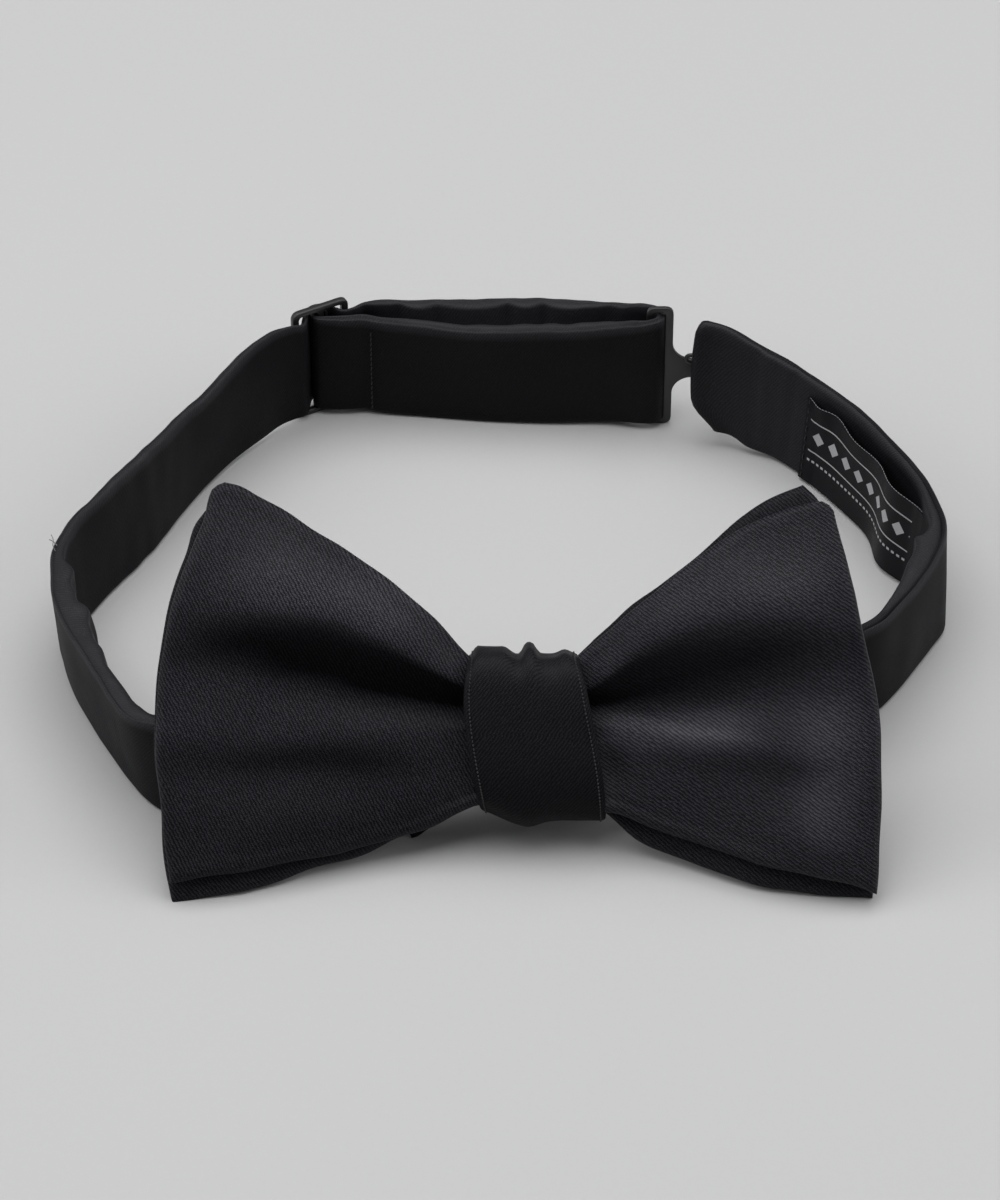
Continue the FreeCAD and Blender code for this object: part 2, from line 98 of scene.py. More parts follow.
BACK_LAYER = stations([
    (-22.4, 60.6, 0, 0.5, 1.2, 0.9, 0.2), (-14, 61, 0, 2.8, 1.8, 0.2, 0.6), (-4, 61.4, 0, 3.5, 1.8, 0, 0.4),
    (5, 61.6, 0, 3.7, 1.8, 0, 0.4), (12.5, 61.2, 0, 3.4, 1.7, 0.2, 0.2), (17.6, 60.6, 0, 2.4, 1.4, 0.6),
])
FOLD = stations([
    (21.6, 59.4, 0, 1.3, 1.2, 0.9, 0.6), (23.8, 57.7, 0, 0.5, 1.2, 1, 1.8),
    (25.5, 55.9, 0, 0.1, 1.3, 1.1, 2.6), (26.35, 54.7, 0, 0, 1.45, 1.1, 2.7),
    (26.45, 53.5, 0, 0, 1.5, 1.1, 2.7), (25.8, 52.45, 0, 0, 1.4, 1.1, 2.5),
    (24.4, 52.2, 0, 0, 1.4, 1.1, 2.1), (22.4, 52.4, 0, 0, 1.6, 1.1, 1.7),
])
FRONT_LAYER = stations([
    (19, 53.2, 0, 0.2, 2, 0.8, 1.1), (10, 53.6, 0, 0.5, 2.1, 0.3, 0.3), (-5, 54.6, 0, 0.4),
    (-14, 55.6, 0, 0.3, 2.1, 0.1), (-20.6, 56.2, 0, 0, 2, 0.5),
])

# Outlines of the bow layers in the bow's own plane: u along the bow, v up the plane.
FRONT_LEFT = {
    "bottom": [(-4, 14.8), (-9.2, 12.3), (-15.3, 10), (-20.9, 8.6), (-30.5, 6.7), (-40.3, 5.2),
               (-50.6, 3.7)],
    "top": [(-4.6, 38), (-11.1, 45), (-15.6, 48.9), (-28.2, 57.7), (-36.9, 63), (-39.6, 64.5),
            (-41.9, 65.1)],
    "end": [(-50.6, 3.7), (-51.9, 14.6), (-52.6, 21.9), (-52.6, 29.3), (-51.7, 37.1), (-49.6, 47.4),
            (-47.2, 54.3), (-45.2, 60), (-44.6, 62.4), (-43.6, 64.3), (-41.9, 65.1)],
}
FRONT_RIGHT = {
    "bottom": [(15.4, 14), (17.9, 13.6), (22.1, 12), (26.7, 10.4), (33.3, 8.3), (39.9, 6.4),
               (47.3, 4.6), (55.1, 2.9), (57.6, 1.9)],
    "top": [(11.8, 38), (20.2, 45.2), (29.4, 52.9), (37.4, 58.1), (41.8, 59.9), (47.6, 61.7),
            (49.2, 61.9)],
    "end": [(57.6, 1.9), (57.9, 5.2), (58.3, 18.4), (58.1, 27.3), (57, 35.2), (55, 44),
            (52.5, 54.1), (51.2, 59), (50.6, 61), (49.2, 61.9)],
}
BACK_LEFT = {
    "bottom": [(-4, 14.8), (-11, 11.7), (-17, 9), (-21, 7.1), (-28.4, 5.2), (-35.7, 2.8),
               (-42.9, 1.3), (-50.3, 0.3)],
    "top": [(-4.6, 37.4), (-11.1, 44.2), (-15.6, 48), (-28.2, 56.7), (-37, 61.4), (-43, 61.9),
            (-45.3, 60.6)],
    "end": [(-50.3, 0.3), (-51.4, 4.9), (-52.1, 14.6), (-52.9, 21.9), (-53, 29.3), (-52.2, 37.1),
            (-50.2, 47.4), (-47.9, 54.3), (-46.4, 59.2), (-45.3, 60.6)],
}
BACK_RIGHT = {
    "bottom": [(15.6, 14), (21.5, 9.2), (29, 6.1), (40, 2.7), (48.8, 1.5), (57.2, 1)],
    "top": [(11.6, 37.6), (20.2, 45.7), (30.2, 53.4), (36.3, 58.9), (39.8, 61.3), (43.8, 63.3),
            (46.4, 64.4)],
    "end": [(57.2, 1), (57.9, 10), (58, 20), (57.3, 32), (55.2, 42), (53, 51),
            (50.4, 58.5), (48.6, 62.2), (46.4, 64.4)],
}
# Depth of each layer's middle out of the bow plane, along u, before its folds are added.
FRONT_DEPTH = [(-53, 1.4), (-44, 2.1), (-37, 2), (-24, 0.9), (-13, -0.8), (-5, -2.6), (5.4, -3),
               (15, -2.6), (24.5, -0.8), (36, 0.9), (48, 2), (58, 1.7)]
BACK_DEPTH = [(-53, -1), (-44, -1.2), (-37, -1.3), (-24, -2.5), (-13, -4.3), (-5, -6.4), (5.4, -6.8),
              (16, -6.4), (24.5, -4.3), (36, -2.5), (48, -1.2), (58, -1.3)]
# Fold lines of the front layer, lower edge to upper edge: (u, v, depth added to the layer's middle).
LEFT_FOLDS = [
    [(5.4, 14, -0.6), (-4.5, 14.5, -1), (-12, 11.2, -3.6), (-20, 8.8, -4.6), (-28, 7.2, -3.8),
     (-36, 6, -2.6), (-44, 4.8, -1.2), (-53, 3.3, -0.2)],
    [(5.4, 19.5, -0.8), (-4.5, 18.9, -1.5), (-12, 18.9, -3), (-20, 18.9, -4), (-28, 18.9, -4.5),
     (-36, 19, -4), (-44, 19.5, -2.7), (-53, 20.2, -1.2)],
    [(5.4, 26.2, -0.9), (-4.5, 26.7, -1.6), (-12, 26.1, -2.3), (-20, 26, -2.8), (-28, 26, -3.2),
     (-36, 26.2, -2.8), (-44, 26.8, -1.9), (-53, 27.6, -0.8)],
    [(5.4, 29.5, -1.4), (-4.5, 29.9, -3), (-12, 30.6, -3.6), (-18, 31.5, -4), (-24, 32.6, -4.3),
     (-30, 33.5, -4.2), (-36, 34.2, -3.5), (-44, 34.8, -2.2), (-53, 35.2, -0.7)],
    [(5.4, 32.6, -1), (-4.5, 33.4, 0.3), (-8, 35.4, 1.1), (-12, 38, 1.4), (-18, 41.6, 1.5),
     (-24, 44.3, 1.6), (-30, 45.8, 1.6), (-36, 46.6, 1.3), (-44, 46.4, 0.8), (-53, 46, 0.2)],
    [(5.4, 37, -1.2), (-4.6, 38, -0.6), (-12, 45.8, 0), (-20, 51.8, -0.4), (-28, 57.6, -1),
     (-36, 62.5, -2), (-44, 65.5, -2.5), (-53, 67, -2.8)],
]
RIGHT_FOLDS = [
    [(5.4, 14, -0.6), (15.4, 14, -1), (22, 12, -3), (30, 9.3, -3), (38, 6.9, -1.9),
     (46, 4.9, -0.9), (52, 3.4, -0.3), (59, 1.5, -0.2)],
    [(5.4, 19.5, -0.8), (15, 21, -1.7), (22, 20.8, -3), (30, 19.6, -3.5), (38, 19, -3),
     (46, 18.4, -1.8), (52, 18, -0.5), (59, 17.5, -0.9)],
    [(5.4, 25.8, -0.9), (15, 27.2, -1.7), (22, 26, -2.7), (30, 24.6, -2.8), (38, 24.2, -2.2),
     (46, 24, -0.9), (52, 24, -0.1), (59, 24, -0.7)],
    [(5.4, 29.5, -1.4), (15, 29.8, -2.9), (20.7, 29.9, -3.6), (26.5, 30.3, -4.3), (32.3, 31.1, -4.4),
     (38, 32.2, -4), (43.8, 33.4, -3), (49.6, 35.1, -1.7), (59, 36.6, -0.9)],
    [(5.4, 32.6, -1), (13.5, 33.4, 0.2), (17, 36, 1.1), (20.7, 39.4, 1.5), (26.5, 42.4, 1.6),
     (32.3, 44.7, 1.5), (38, 46, 1.3), (43.8, 46, 0.9), (49.6, 44.8, 0.4), (59, 44, -0.3)],
    [(5.4, 37, -1.2), (12, 38, -0.6), (20.7, 45.6, 0.3), (30, 53.3, -0.5), (38, 58.4, -1.8),
     (46, 61.4, -2.9), (52, 62.8, -3), (59, 64, -3.2)],
]
RIGHT_CREASE = [(13, 30), (19, 29.2), (23, 28.4), (27.7, 27.6), (32.3, 27), (38, 26.6),
                (59, 26.4)]


# ---- curves and noise
def hermite(a, span, values, slopes):
    """Cubic between two values with given slopes, a running 0 to 1 over the span."""
    piece = (2 * a**3 - 3 * a**2 + 1) * values[0] + (a**3 - 2 * a**2 + a) * span * slopes[0]
    return piece + (3 * a**2 - 2 * a**3) * values[1] + (a**3 - a**2) * span * slopes[1]


def spline(rows, step, measure=2):
    """Smooth curve through rows of values, sampled evenly along its first measure columns."""
    p = np.array(rows, float)
    run = np.linalg.norm(np.diff(p[:, :measure], axis=0), axis=1)
    t = np.concatenate([[0], np.cumsum(run)])
    slope = np.gradient(p, t, axis=0)
    at = np.linspace(0, t[-1], max(int(round(t[-1] / step)), 2) + 1)
    k = np.clip(np.searchsorted(t, at, side="right") - 1, 0, len(t) - 2)
    h = (t[k + 1] - t[k])[:, None]
    a = (at - t[k])[:, None] / h
    return hermite(a, h, (p[k], p[k + 1]), (slope[k], slope[k + 1]))


def lookup(rows, x):
    """Smooth value of a table of (x, value) rows."""
    table = spline(rows, 0.5, 1)
    order = np.argsort(table[:, 0])
    return np.interp(x, table[order, 0], table[order, 1])


def along(points):
    """Distance travelled at each point of a line."""
    return np.concatenate([[0], np.cumsum(np.linalg.norm(np.diff(points, axis=0), axis=1))])


def ripple(a, b, seed, length, amount):
    """Smooth seeded unevenness over two coordinates."""
    rng = np.random.default_rng(seed)
    total = np.zeros(np.broadcast(a, b).shape)
    for _ in range(7):
        angle, phase = rng.uniform(0, math.tau, 2)
        size = length * rng.uniform(0.6, 1.6)
        total += np.sin((a * math.cos(angle) + b * math.sin(angle)) * math.tau / size + phase)
    return amount * total / 2.6


def bell(x, width):
    return np.exp(-np.square(x / width))


def ramp(x, low, high):
    """0 below low, 1 above high, smooth between; low may be the larger."""
    t = np.clip((x - low) / (high - low), 0, 1)
    return t * t * (3 - 2 * t)


def stretch(x, start, begun, ending, end):
    """1 from begun to ending, 0 before start and after end, smooth between."""
    return ramp(x, start, begun) * ramp(x, end, ending)


# ---- meshes
def turned(uv, degrees):
    c, s = math.cos(math.radians(degrees)), math.sin(math.radians(degrees))
    return np.stack([uv[..., 0] * c + uv[..., 1] * s, uv[..., 1] * c - uv[..., 0] * s], axis=-1)


def placed(name, data):
    """New object in the scene."""
    obj = bpy.data.objects.new(name, data)
    bpy.context.collection.objects.link(obj)
    return obj


def make_object(name, points, faces, uvs, material):
    """Smooth mesh from points in millimetres, and a weave coordinate per face corner in millimetres."""
    mesh = bpy.data.meshes.new(name)
    mesh.from_pydata((np.asarray(points, float).reshape(-1, 3) * MM).tolist(), [], faces)
    if uvs is not None:
        layer = mesh.uv_layers.new(name="weave")
        layer.data.foreach_set("uv", np.asarray(uvs, np.float32).ravel())
    mesh.shade_smooth()
    mesh.materials.append(material)
    return placed(name, mesh)


def set_shade(obj, shade):
    """Per point painted light: above 0 painted shade darkens the cloth in a fold, below 0 a painted
    highlight lightens it.
    """
    layer = obj.data.attributes.new("shade", "FLOAT", "POINT")
    layer.data.foreach_set("value", np.asarray(shade, np.float32).ravel())


def weld(obj, distance=0.004):
    """Merge coincident points and turn every face outward."""
    bm = bmesh.new()
    bm.from_mesh(obj.data)
    bmesh.ops.remove_doubles(bm, verts=bm.verts, dist=distance * MM)
    bmesh.ops.dissolve_degenerate(bm, edges=bm.edges, dist=1e-7)
    bmesh.ops.recalc_face_normals(bm, faces=bm.faces)
    bm.to_mesh(obj.data)
    bm.free()
    obj.data.set_sharp_from_angle(angle=math.radians(62))
    return obj


def tube(name, rings, lengths, material, twill=0, closed=False, shade=None):
    """Skin over rings of points [ring][point]; point j lies opposite point -1-j, which closes the ends."""
    n, m = rings.shape[:2]
    around = along(np.concatenate([rings[n // 2], rings[n // 2][:1]]))
    faces, uvs = [], []
    for i in range(n if closed else n - 1):
        for j in range(m):
            i2, j2 = (i + 1) % n, (j + 1) % m
            faces.append((i * m + j, i2 * m + j, i2 * m + j2, i * m + j2))
            uvs += [(lengths[i], around[j]), (lengths[i + 1], around[j]),
                    (lengths[i + 1], around[j + 1]), (lengths[i], around[j + 1])]
    for i in () if closed else (0, n - 1):
        for j in range(m // 2 - 1):
            faces.append((i * m + j, i * m + j + 1, i * m + m - 2 - j, i * m + m - 1 - j))
            uvs += [(lengths[i], around[j])] * 4
    obj = make_object(name, rings, faces, turned(np.array(uvs), twill), material)
    if shade is not None:
        set_shade(obj, shade)
    return weld(obj)


def pad_mesh(name, front, back, flat, material, twill, shade):
    """Closed cushion-like sheet from a front and a back grid that share their border."""
    n, m = front.shape[:2]
    faces, uvs = [], []
    for side in (0, 1):
        first = side * n * m
        for i in range(n - 1):
            for j in range(m - 1):
                corners = [(i, j), (i + 1, j), (i + 1, j + 1), (i, j + 1)]
                corners = corners if side == 0 else corners[::-1]
                faces.append(tuple(first + a * m + b for a, b in corners))
                uvs.append(turned(np.array([flat[c] for c in corners]), twill[i]))
    points = np.concatenate([front.reshape(-1, 3), back.reshape(-1, 3)])
    obj = make_object(name, points, faces, np.concatenate(uvs), material)
    # Painted light on the front face only; the back face gets none.
    set_shade(obj, [shade, np.zeros_like(shade)])
    return weld(obj)


def joined(name, parts):
    """One mesh object made of several."""
    bpy.ops.object.select_all(action="DESELECT")
    for part in parts:
        part.select_set(True)
    bpy.context.view_layer.objects.active = parts[0]
    bpy.ops.object.join()
    parts[0].name = name
    parts[0].data.name = name
    return parts[0]


def as_mesh(obj, name, material):
    """Mesh made from a curve object, which it replaces."""
    bpy.context.view_layer.update()
    mesh = bpy.data.meshes.new_from_object(obj.evaluated_get(bpy.context.evaluated_depsgraph_get()))
    made = placed(name, mesh)
    made.matrix_world = obj.matrix_world.copy()
    bpy.data.objects.remove(obj)
    mesh.materials.clear()
    mesh.materials.append(material)
    mesh.shade_smooth()
    mesh.name = name
    return made


def declare(obj, body, nodes, blend=None):
    """Hide the CAD nodes the piece stands for, if any; parent it to its body, or bake its transform when it
    has a blend.
    """
    if nodes:
        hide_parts(*nodes)
    if blend:
        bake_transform(obj)
    else:
        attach(obj, body)


# ---- materials
THREAD_RELIEF, FINE_RELIEF = 0.00008, 0.00004


class Nodes:
    """Short hand for building a material's node tree."""

    def __init__(self, name):
        self.material = bpy.data.materials.new(name)
        self.material.use_nodes = True
        self.tree = self.material.node_tree
        self.shader = self.tree.nodes["Principled BSDF"]

    def add(self, kind, inputs=None, **settings):
        node = self.tree.nodes.new("ShaderNode" + kind)
        for key, value in settings.items():
            setattr(node, key, value)
        for key, value in (inputs or {}).items():
            self.set(node, key, value)
        return node

    def set(self, node, key, value):
        if isinstance(value, bpy.types.NodeSocket):
            self.tree.links.new(value, node.inputs[key])
        else:
            node.inputs[key].default_value = value

    def weave(self):
        """The weave coordinate and its two parts, in millimetres."""
        uv = self.add("UVMap", uv_map="weave").outputs[0]
        place = self.add("SeparateXYZ", {0: uv})
        return uv, place.outputs[0], place.outputs[1]

    def where(self):
        return self.add("TexCoord").outputs["Object"]

    def noise(self, vector, scale, detail):
        return self.add("TexNoise", {"Vector": vector, "Scale": scale, "Detail": detail}).outputs[0]

    def math(self, operation, a, b=0):
        return self.add("Math", {0: a, 1: b}, operation=operation).outputs[0]

    def times(self, a, b):
        return self.math("MULTIPLY", a, b)

    def plus(self, a, b):
        return self.math("ADD", a, b)

    def sine(self, value):
        return self.math("SINE", value)

    def apart(self, a, b):
        """Distance between two values."""
        return self.math("ABSOLUTE", self.math("SUBTRACT", a, b))

    def below(self, a, b):
        return self.math("LESS_THAN", a, b)

    def share(self, value, length):
        """Place within each repeat of a length, 0 to 1."""
        return self.math("FRACT", self.math("DIVIDE", value, length))

    def mix(self, factor, low, high):
        """Blend of two colours, each a socket or three numbers."""
        low, high = (c if isinstance(c, bpy.types.NodeSocket) else (*c, 1) for c in (low, high))
        return self.add("Mix", {0: factor, 6: low, 7: high}, data_type="RGBA").outputs[2]

    def range(self, value, low, high, to_low, to_high):
        inputs = {0: value, 1: low, 2: high, 3: to_low, 4: to_high}
        return self.add("MapRange", inputs).outputs[0]

    def finish(self, looks, height=None, strength=0.5, distance=THREAD_RELIEF):
        """Set the shader's inputs, and its bump where a height is given."""
        for key, value in looks.items():
            self.set(self.shader, key, value)
        if height is not None:
            bump = self.add("Bump", {"Height": height, "Strength": strength, "Distance": distance})
            self.set(self.shader, "Normal", bump.outputs[0])
        return self.material


def satin_material(name, pitch, dark, light, rough, gloss, relief):
    """Black satin: twill lines across the weave coordinate, floats along them, soft unevenness, painted
    light.
    """
    n = Nodes(name)
    uv, x, y = n.weave()
    fuzz = n.noise(uv, 2, 4)
    lines = n.times(x, math.tau / pitch)
    for waver, amount in ((n.noise(uv, 0.05, 2), 6), (n.noise(uv, 0.5, 2), 5), (fuzz, 5.5)):
        lines = n.plus(lines, n.times(waver, amount))
    floats = n.plus(n.times(y, math.tau / (pitch * 0.55)), n.times(lines, 0.5))
    twill = n.range(n.sine(lines), -1, 1, 0, 1)
    grain = n.range(n.sine(floats), -1, 1, 0, 1)
    thread = n.times(twill, n.range(grain, 0, 1, 0.3, 1))
    thread = n.times(thread, n.range(fuzz, 0.3, 0.7, 0.55, 1.1))
    speck = n.noise(uv, 7, 2)
    # Painted glints: random specks lightened to over three times the light thread colour.
    painted_glint = n.times(n.range(speck, 0.62, 0.78, 0, 1), 0.75)
    glint_colour = [c * 3.2 for c in light]
    colour = n.mix(painted_glint, n.mix(thread, dark, light), glint_colour)
    # Painted light: the shade attribute darkens colour and gloss in folds (painted shade) and lightens them
    # on rolls and lit faces (painted highlight).
    shade = n.add("Attribute", attribute_name="shade").outputs["Fac"]
    painted_light_scale = n.times(n.range(shade, -1, 0, 2.8, 1), n.range(shade, 0, 1, 1, 0.1))
    return n.finish({
        "Base Color": n.add("VectorMath", {0: colour, "Scale": painted_light_scale}, operation="SCALE").outputs[0],
        "Roughness": n.range(n.noise(uv, 0.05, 3), 0.35, 0.65, rough - 0.05, rough + 0.06),
        "Specular IOR Level": n.times(painted_light_scale, gloss),
        "Sheen Weight": 0.01,
        "Sheen Roughness": 0.45,
        "Sheen Tint": (0.8, 0.8, 1, 1),
    }, n.plus(n.times(thread, 0.7), n.times(speck, 0.5)), relief)


def thread_material():
    """Twisted black sewing thread."""
    n = Nodes("thread")
    settings = {"Vector": n.where(), "Scale": 900, "Distortion": 1.5}
    twist = n.add("TexWave", settings, bands_direction="DIAGONAL").outputs[1]
    colour = n.mix(twist, (0.005, 0.005, 0.006), (0.02, 0.02, 0.023))
    return n.finish({"Base Color": colour, "Roughness": 0.6}, twist, distance=FINE_RELIEF)


def metal_material(name, shade, rough):
    """Black lacquered steel: fine orange-peel, its edges paler from wear and a painted highlight."""
    n = Nodes(name)
    where = n.where()
    patch = n.noise(where, 260, 4)
    point = n.add("NewGeometry").outputs["Pointiness"]
    # Paler, more metallic edges: partly wear, partly a painted highlight on the tips.
    wear_and_edge_highlight = n.times(n.range(point, 0.53, 0.62, 0, 1), n.range(patch, 0.42, 0.62, 0.1, 1))
    return n.finish({
        "Base Color": n.mix(wear_and_edge_highlight, shade, (0.16, 0.16, 0.165)),
        "Roughness": n.range(patch, 0.3, 0.7, rough - 0.06, rough + 0.08),
        "Metallic": n.times(wear_and_edge_highlight, 0.6),
        "Specular IOR Level": 0.45,
        "Coat Weight": 0.15,
        "Coat Roughness": 0.35,
    }, n.noise(where, 2200, 2), 0.25, FINE_RELIEF)


def label_material():
    """Woven label: black ground; in pale thread a row of diamonds, two lines and a dashed one."""
    n = Nodes("label_cloth")
    _, x, y = n.weave()
    pitch, middle, half, dash = 3.7, 9.6, 1.35, 1.1
    diamond = n.plus(n.times(n.apart(n.share(x, pitch), 0.5), pitch), n.apart(y, middle))
    mark = n.below(diamond, half)
    dashes = n.below(n.share(x, dash), 0.55)
    for level, width, broken in ((12.6, 0.13, False), (6.5, 0.13, False), (4.6, 0.22, True)):
        line = n.below(n.apart(y, level), width)
        mark = n.math("MAXIMUM", mark, n.times(line, dashes) if broken else line)
    mark = n.times(mark, n.times(n.math("GREATER_THAN", x, 3), n.below(x, 33.6)))
    crossing = n.times(n.sine(n.times(y, math.tau / 0.16)), n.sine(n.times(x, math.tau / 0.22)))
    weave = n.range(crossing, -1, 1, 0, 1)
    ground = n.mix(weave, (0.003, 0.003, 0.004), (0.011, 0.011, 0.014))
    pale = n.mix(weave, (0.28, 0.28, 0.29), (0.62, 0.62, 0.64))
    return n.finish({
        "Base Color": n.mix(mark, ground, pale),
        "Roughness": n.range(mark, 0, 1, 0.42, 0.7),
        "Specular IOR Level": 0.08,
    }, n.plus(n.times(weave, 0.25), mark))


def plain_material(name, colour, rough):
    n = Nodes(name)
    low = [c * 0.97 for c in colour]
    return n.finish({"Base Color": n.mix(n.noise(n.where(), 900, 3), low, colour), "Roughness": rough})


BOW_SATIN = satin_material("bow_satin", 0.5, (0.003, 0.003, 0.0038), (0.055, 0.054, 0.067),
                           0.5, 0.12, 0.6)
KNOT_SATIN = satin_material("knot_satin", 0.46, (0.0045, 0.0045, 0.0055), (0.029, 0.0285, 0.034),
                            0.52, 0.11, 0.6)
BAND_SATIN = satin_material("band_satin", 0.42, (0.0035, 0.0035, 0.0042), (0.012, 0.0118, 0.0144),
                            0.58, 0.09, 0.5)
THREAD = thread_material()
BLACK_METAL = metal_material("black_metal", (0.017, 0.017, 0.018), 0.42)
LABEL = label_material()
PALE_THREAD = plain_material("pale_thread", (0.22, 0.22, 0.23), 0.75)


# ---- the bow plane
def bow_point(u, v, w):
    """Points of the leaning bow plane, w out of its face, kept above the table."""
    y = BOW_FOOT_Y + v * math.sin(BOW_TILT) - w * math.cos(BOW_TILT)
    z = v * math.cos(BOW_TILT) + w * math.sin(BOW_TILT)
    return np.stack(np.broadcast_arrays(u + BOW_SHIFT_X, y, np.maximum(z, 0)), axis=-1)


def follow(line, marks, at):
    """Points of a (u, v) line where its marks reach the given values."""
    return np.stack([np.interp(at, marks, line[:, k]) for k in (0, 1)], axis=-1)


def bow_station(u, v, w):
    """Strap station on the bow plane, leaning with it."""
    x, y, z = (float(c) for c in bow_point(u, v, w))
    return (x, y, z, -math.degrees(BOW_TILT), BAND_THICK, 0, 0)


def even(points):
    """The line as 400 even samples, for lookups by share of its length."""
    line = spline(points, 0.25)
    run = along(line)
    return follow(line, run, np.linspace(0, run[-1], 400))


def pick(line, share):
    return follow(line, np.linspace(0, 1, len(line)), share)


BORDER_STEPS = 1 - np.cos(np.linspace(0, math.pi / 2, 6))
WING_REACH = 47


def wing(outline, s, edge, rows):
    """Grid over a wing from its knot side (s = 0) to its end (s = 1), and distances to its borders."""
    bottom, top, end = even(outline["bottom"]), even(outline["top"]), even(outline["end"])
    low_line, top_line = pick(bottom, s), pick(top, s)
    height = np.linalg.norm(top_line - low_line, axis=1)
    near = edge * BORDER_STEPS
    share = np.linspace(0, 1, rows)[None, :]
    inner = near[-1] + (height[:, None] - 2 * near[-1]) * share
    low = np.repeat(near[None, :-1], len(s), axis=0)
    dist = np.concatenate([low, inner, height[:, None] - low[:, ::-1]], axis=1)
    t = dist / height[:, None]
    end_line = pick(end, t)
    s3, t3 = s[:, None, None], t[..., None]
    knot = (1 - t3) * bottom[0] + t3 * top[0]
    corner = (1 - s3) * knot + s3 * ((1 - t3) * bottom[-1] + t3 * top[-1])
    grid = (1 - t3) * low_line[:, None] + t3 * top_line[:, None] + (1 - s3) * knot + s3 * end_line - corner
    return grid, np.minimum(dist, height[:, None] - dist)


def layer_grid(left, right, edge, rows=52, columns=54):
    """Whole layer, left end to right end: (u, v) grid and distance to the nearest border."""
    near = 1 - edge * BORDER_STEPS / WING_REACH
    s = np.concatenate([np.linspace(0, near[-1], columns)[:-1], near[::-1]])
    end_gap = (1 - s)[:, None] * WING_REACH
    l_grid, l_dist = wing(left, s, edge, rows)
    r_grid, r_dist = wing(right, s, edge, rows)
    share = np.linspace(0, 1, 12)[1:-1, None, None]
    inner = l_grid[0][None] * (1 - share) + r_grid[0][None] * share
    pinch = 1 - 0.16 * np.sin(math.pi * share[..., 0])
    middle = inner[..., 1].mean(axis=1, keepdims=True)
    inner[..., 1] = middle + (inner[..., 1] - middle) * pinch
    i_dist = l_dist[0][None] * (1 - share[..., 0]) + r_dist[0][None] * share[..., 0]
    grid = np.concatenate([l_grid[::-1], inner, r_grid])
    shake = [ripple(grid[..., 0], grid[..., 1], seed, 9, 0.13) for seed in (61, 62)]
    grid = grid + np.stack(shake, axis=-1) * (np.abs(grid[..., :1] - MIDDLE_U) > 9)
    dist = np.concatenate([np.minimum(l_dist, end_gap)[::-1], i_dist, np.minimum(r_dist, end_gap)])
    return grid, dist


def folded(lines, u, v):
    """Depth from fold lines: across them the cloth runs smoothly, level only where it turns back."""
    heights = [lookup([(a, b) for a, b, _ in line], u) for line in lines]
    depths = [lookup([(a, c) for a, _, c in line], u) for line in lines]
    slopes = [(depths[i + 1] - depths[i]) / (heights[i + 1] - heights[i]) for i in range(len(lines) - 1)]
    lean = [slopes[0]]
    for low, high in zip(slopes[:-1], slopes[1:]):
        same = low * high > 0
        lean.append(np.where(same, 2 * low * high / np.where(same, low + high, 1), 0))
    lean.append(slopes[-1])
    w = depths[0] + lean[0] * (v - heights[0])
    for i in range(len(lines) - 1):
        h = heights[i + 1] - heights[i]
        a = np.clip((v - heights[i]) / h, 0, 1)
        w = np.where(v > heights[i], hermite(a, h, depths[i:i + 2], lean[i:i + 2]), w)
    return np.where(v > heights[-1], depths[-1] + lean[-1] * (v - heights[-1]), w)


def by_wing(u, left, right):
    return np.where(u < MIDDLE_U, left, right)


def front_depth(u, v):
    """Middle of the front layer: base sweep, fold lines of both wings, a few dents, soft unevenness."""
    left = folded(LEFT_FOLDS, np.minimum(u, MIDDLE_U), v)
    right = folded(RIGHT_FOLDS, np.maximum(u, MIDDLE_U), v)
    out = np.clip(u - 14, 0, None)
    right -= 0.32 * bell(v - lookup(RIGHT_CREASE, u), 0.7) * stretch(out, 3, 9, 22, 33)
    right += 0.9 * bell(u - 47, 6) * bell(v - 11.5, 4.5) - 0.9 * bell(u - 17, 2.4) * bell(v - 20.5, 3.5)
    right -= 0.7 * bell(u - 38, 9) * ramp(v, 47, 56)
    left += 0.7 * bell(u + 30, 12) * bell(v - 13, 4)
    w = lookup(FRONT_DEPTH, u) + by_wing(u, left, right)
    return w + ripple(u, v, 5, 26, 0.18) + ripple(u, v, 6, 8, 0.045)


DEEPEST_FOLD = 3
# Strongest painted shade in the front layer's folds.
DARKEST = 0.93


def fold_height(lines, u):
    """Height of the deepest fold line."""
    return lookup([(a, b) for a, b, _ in lines[DEEPEST_FOLD]], u)


def front_shade(u, v):
    """Painted light for the front layer: painted shade in its folds, painted highlights on its rolls."""
    step = 0.4
    slope = (front_depth(u, v + step) - front_depth(u, v - step)) / (2 * step)
    fold = by_wing(u, fold_height(LEFT_FOLDS, u), fold_height(RIGHT_FOLDS, u))
    away = np.abs(u - MIDDLE_U)
    # Painted shade where the cloth faces down, along the deepest fold, towards the lower edge and in a
    # streak across the left wing.
    dark = by_wing(u, DARKEST, 0.76) * ramp(slope, 0.02, 0.66)
    dark += by_wing(u, 0.5, 0.25) * bell(v - fold - 0.8, 1.9) * ramp(away, 46, 26)
    dark += by_wing(u, 0.42, 0.2) * ramp(v, 25, 11)
    dark += 0.24 * bell(v - 22.5, 2.6) * ramp(u, -6, -16)
    # Painted highlights on the roll above the fold, on the right wing's arc and on its ridge.
    roll = bell(v - fold - 15, 6) * stretch(away, 12, 24, 36, 52)
    roll *= by_wing(u, 0.42, 0.26)
    arc = bell(u - 50, 5.5) * stretch(v, 5, 11, 27, 34)
    ridge = bell(v - 26.5, 3) * stretch(u, 14, 19, 34, 44)
    return np.clip(dark, 0, DARKEST) - 0.5 * arc - 0.62 * ridge - roll


def half_thickness(dist, edge, full):
    rise = np.clip(dist / edge, 0, 1)
    return full / 2 * np.sqrt(np.clip(1 - (1 - rise) ** 2, 0, 1))


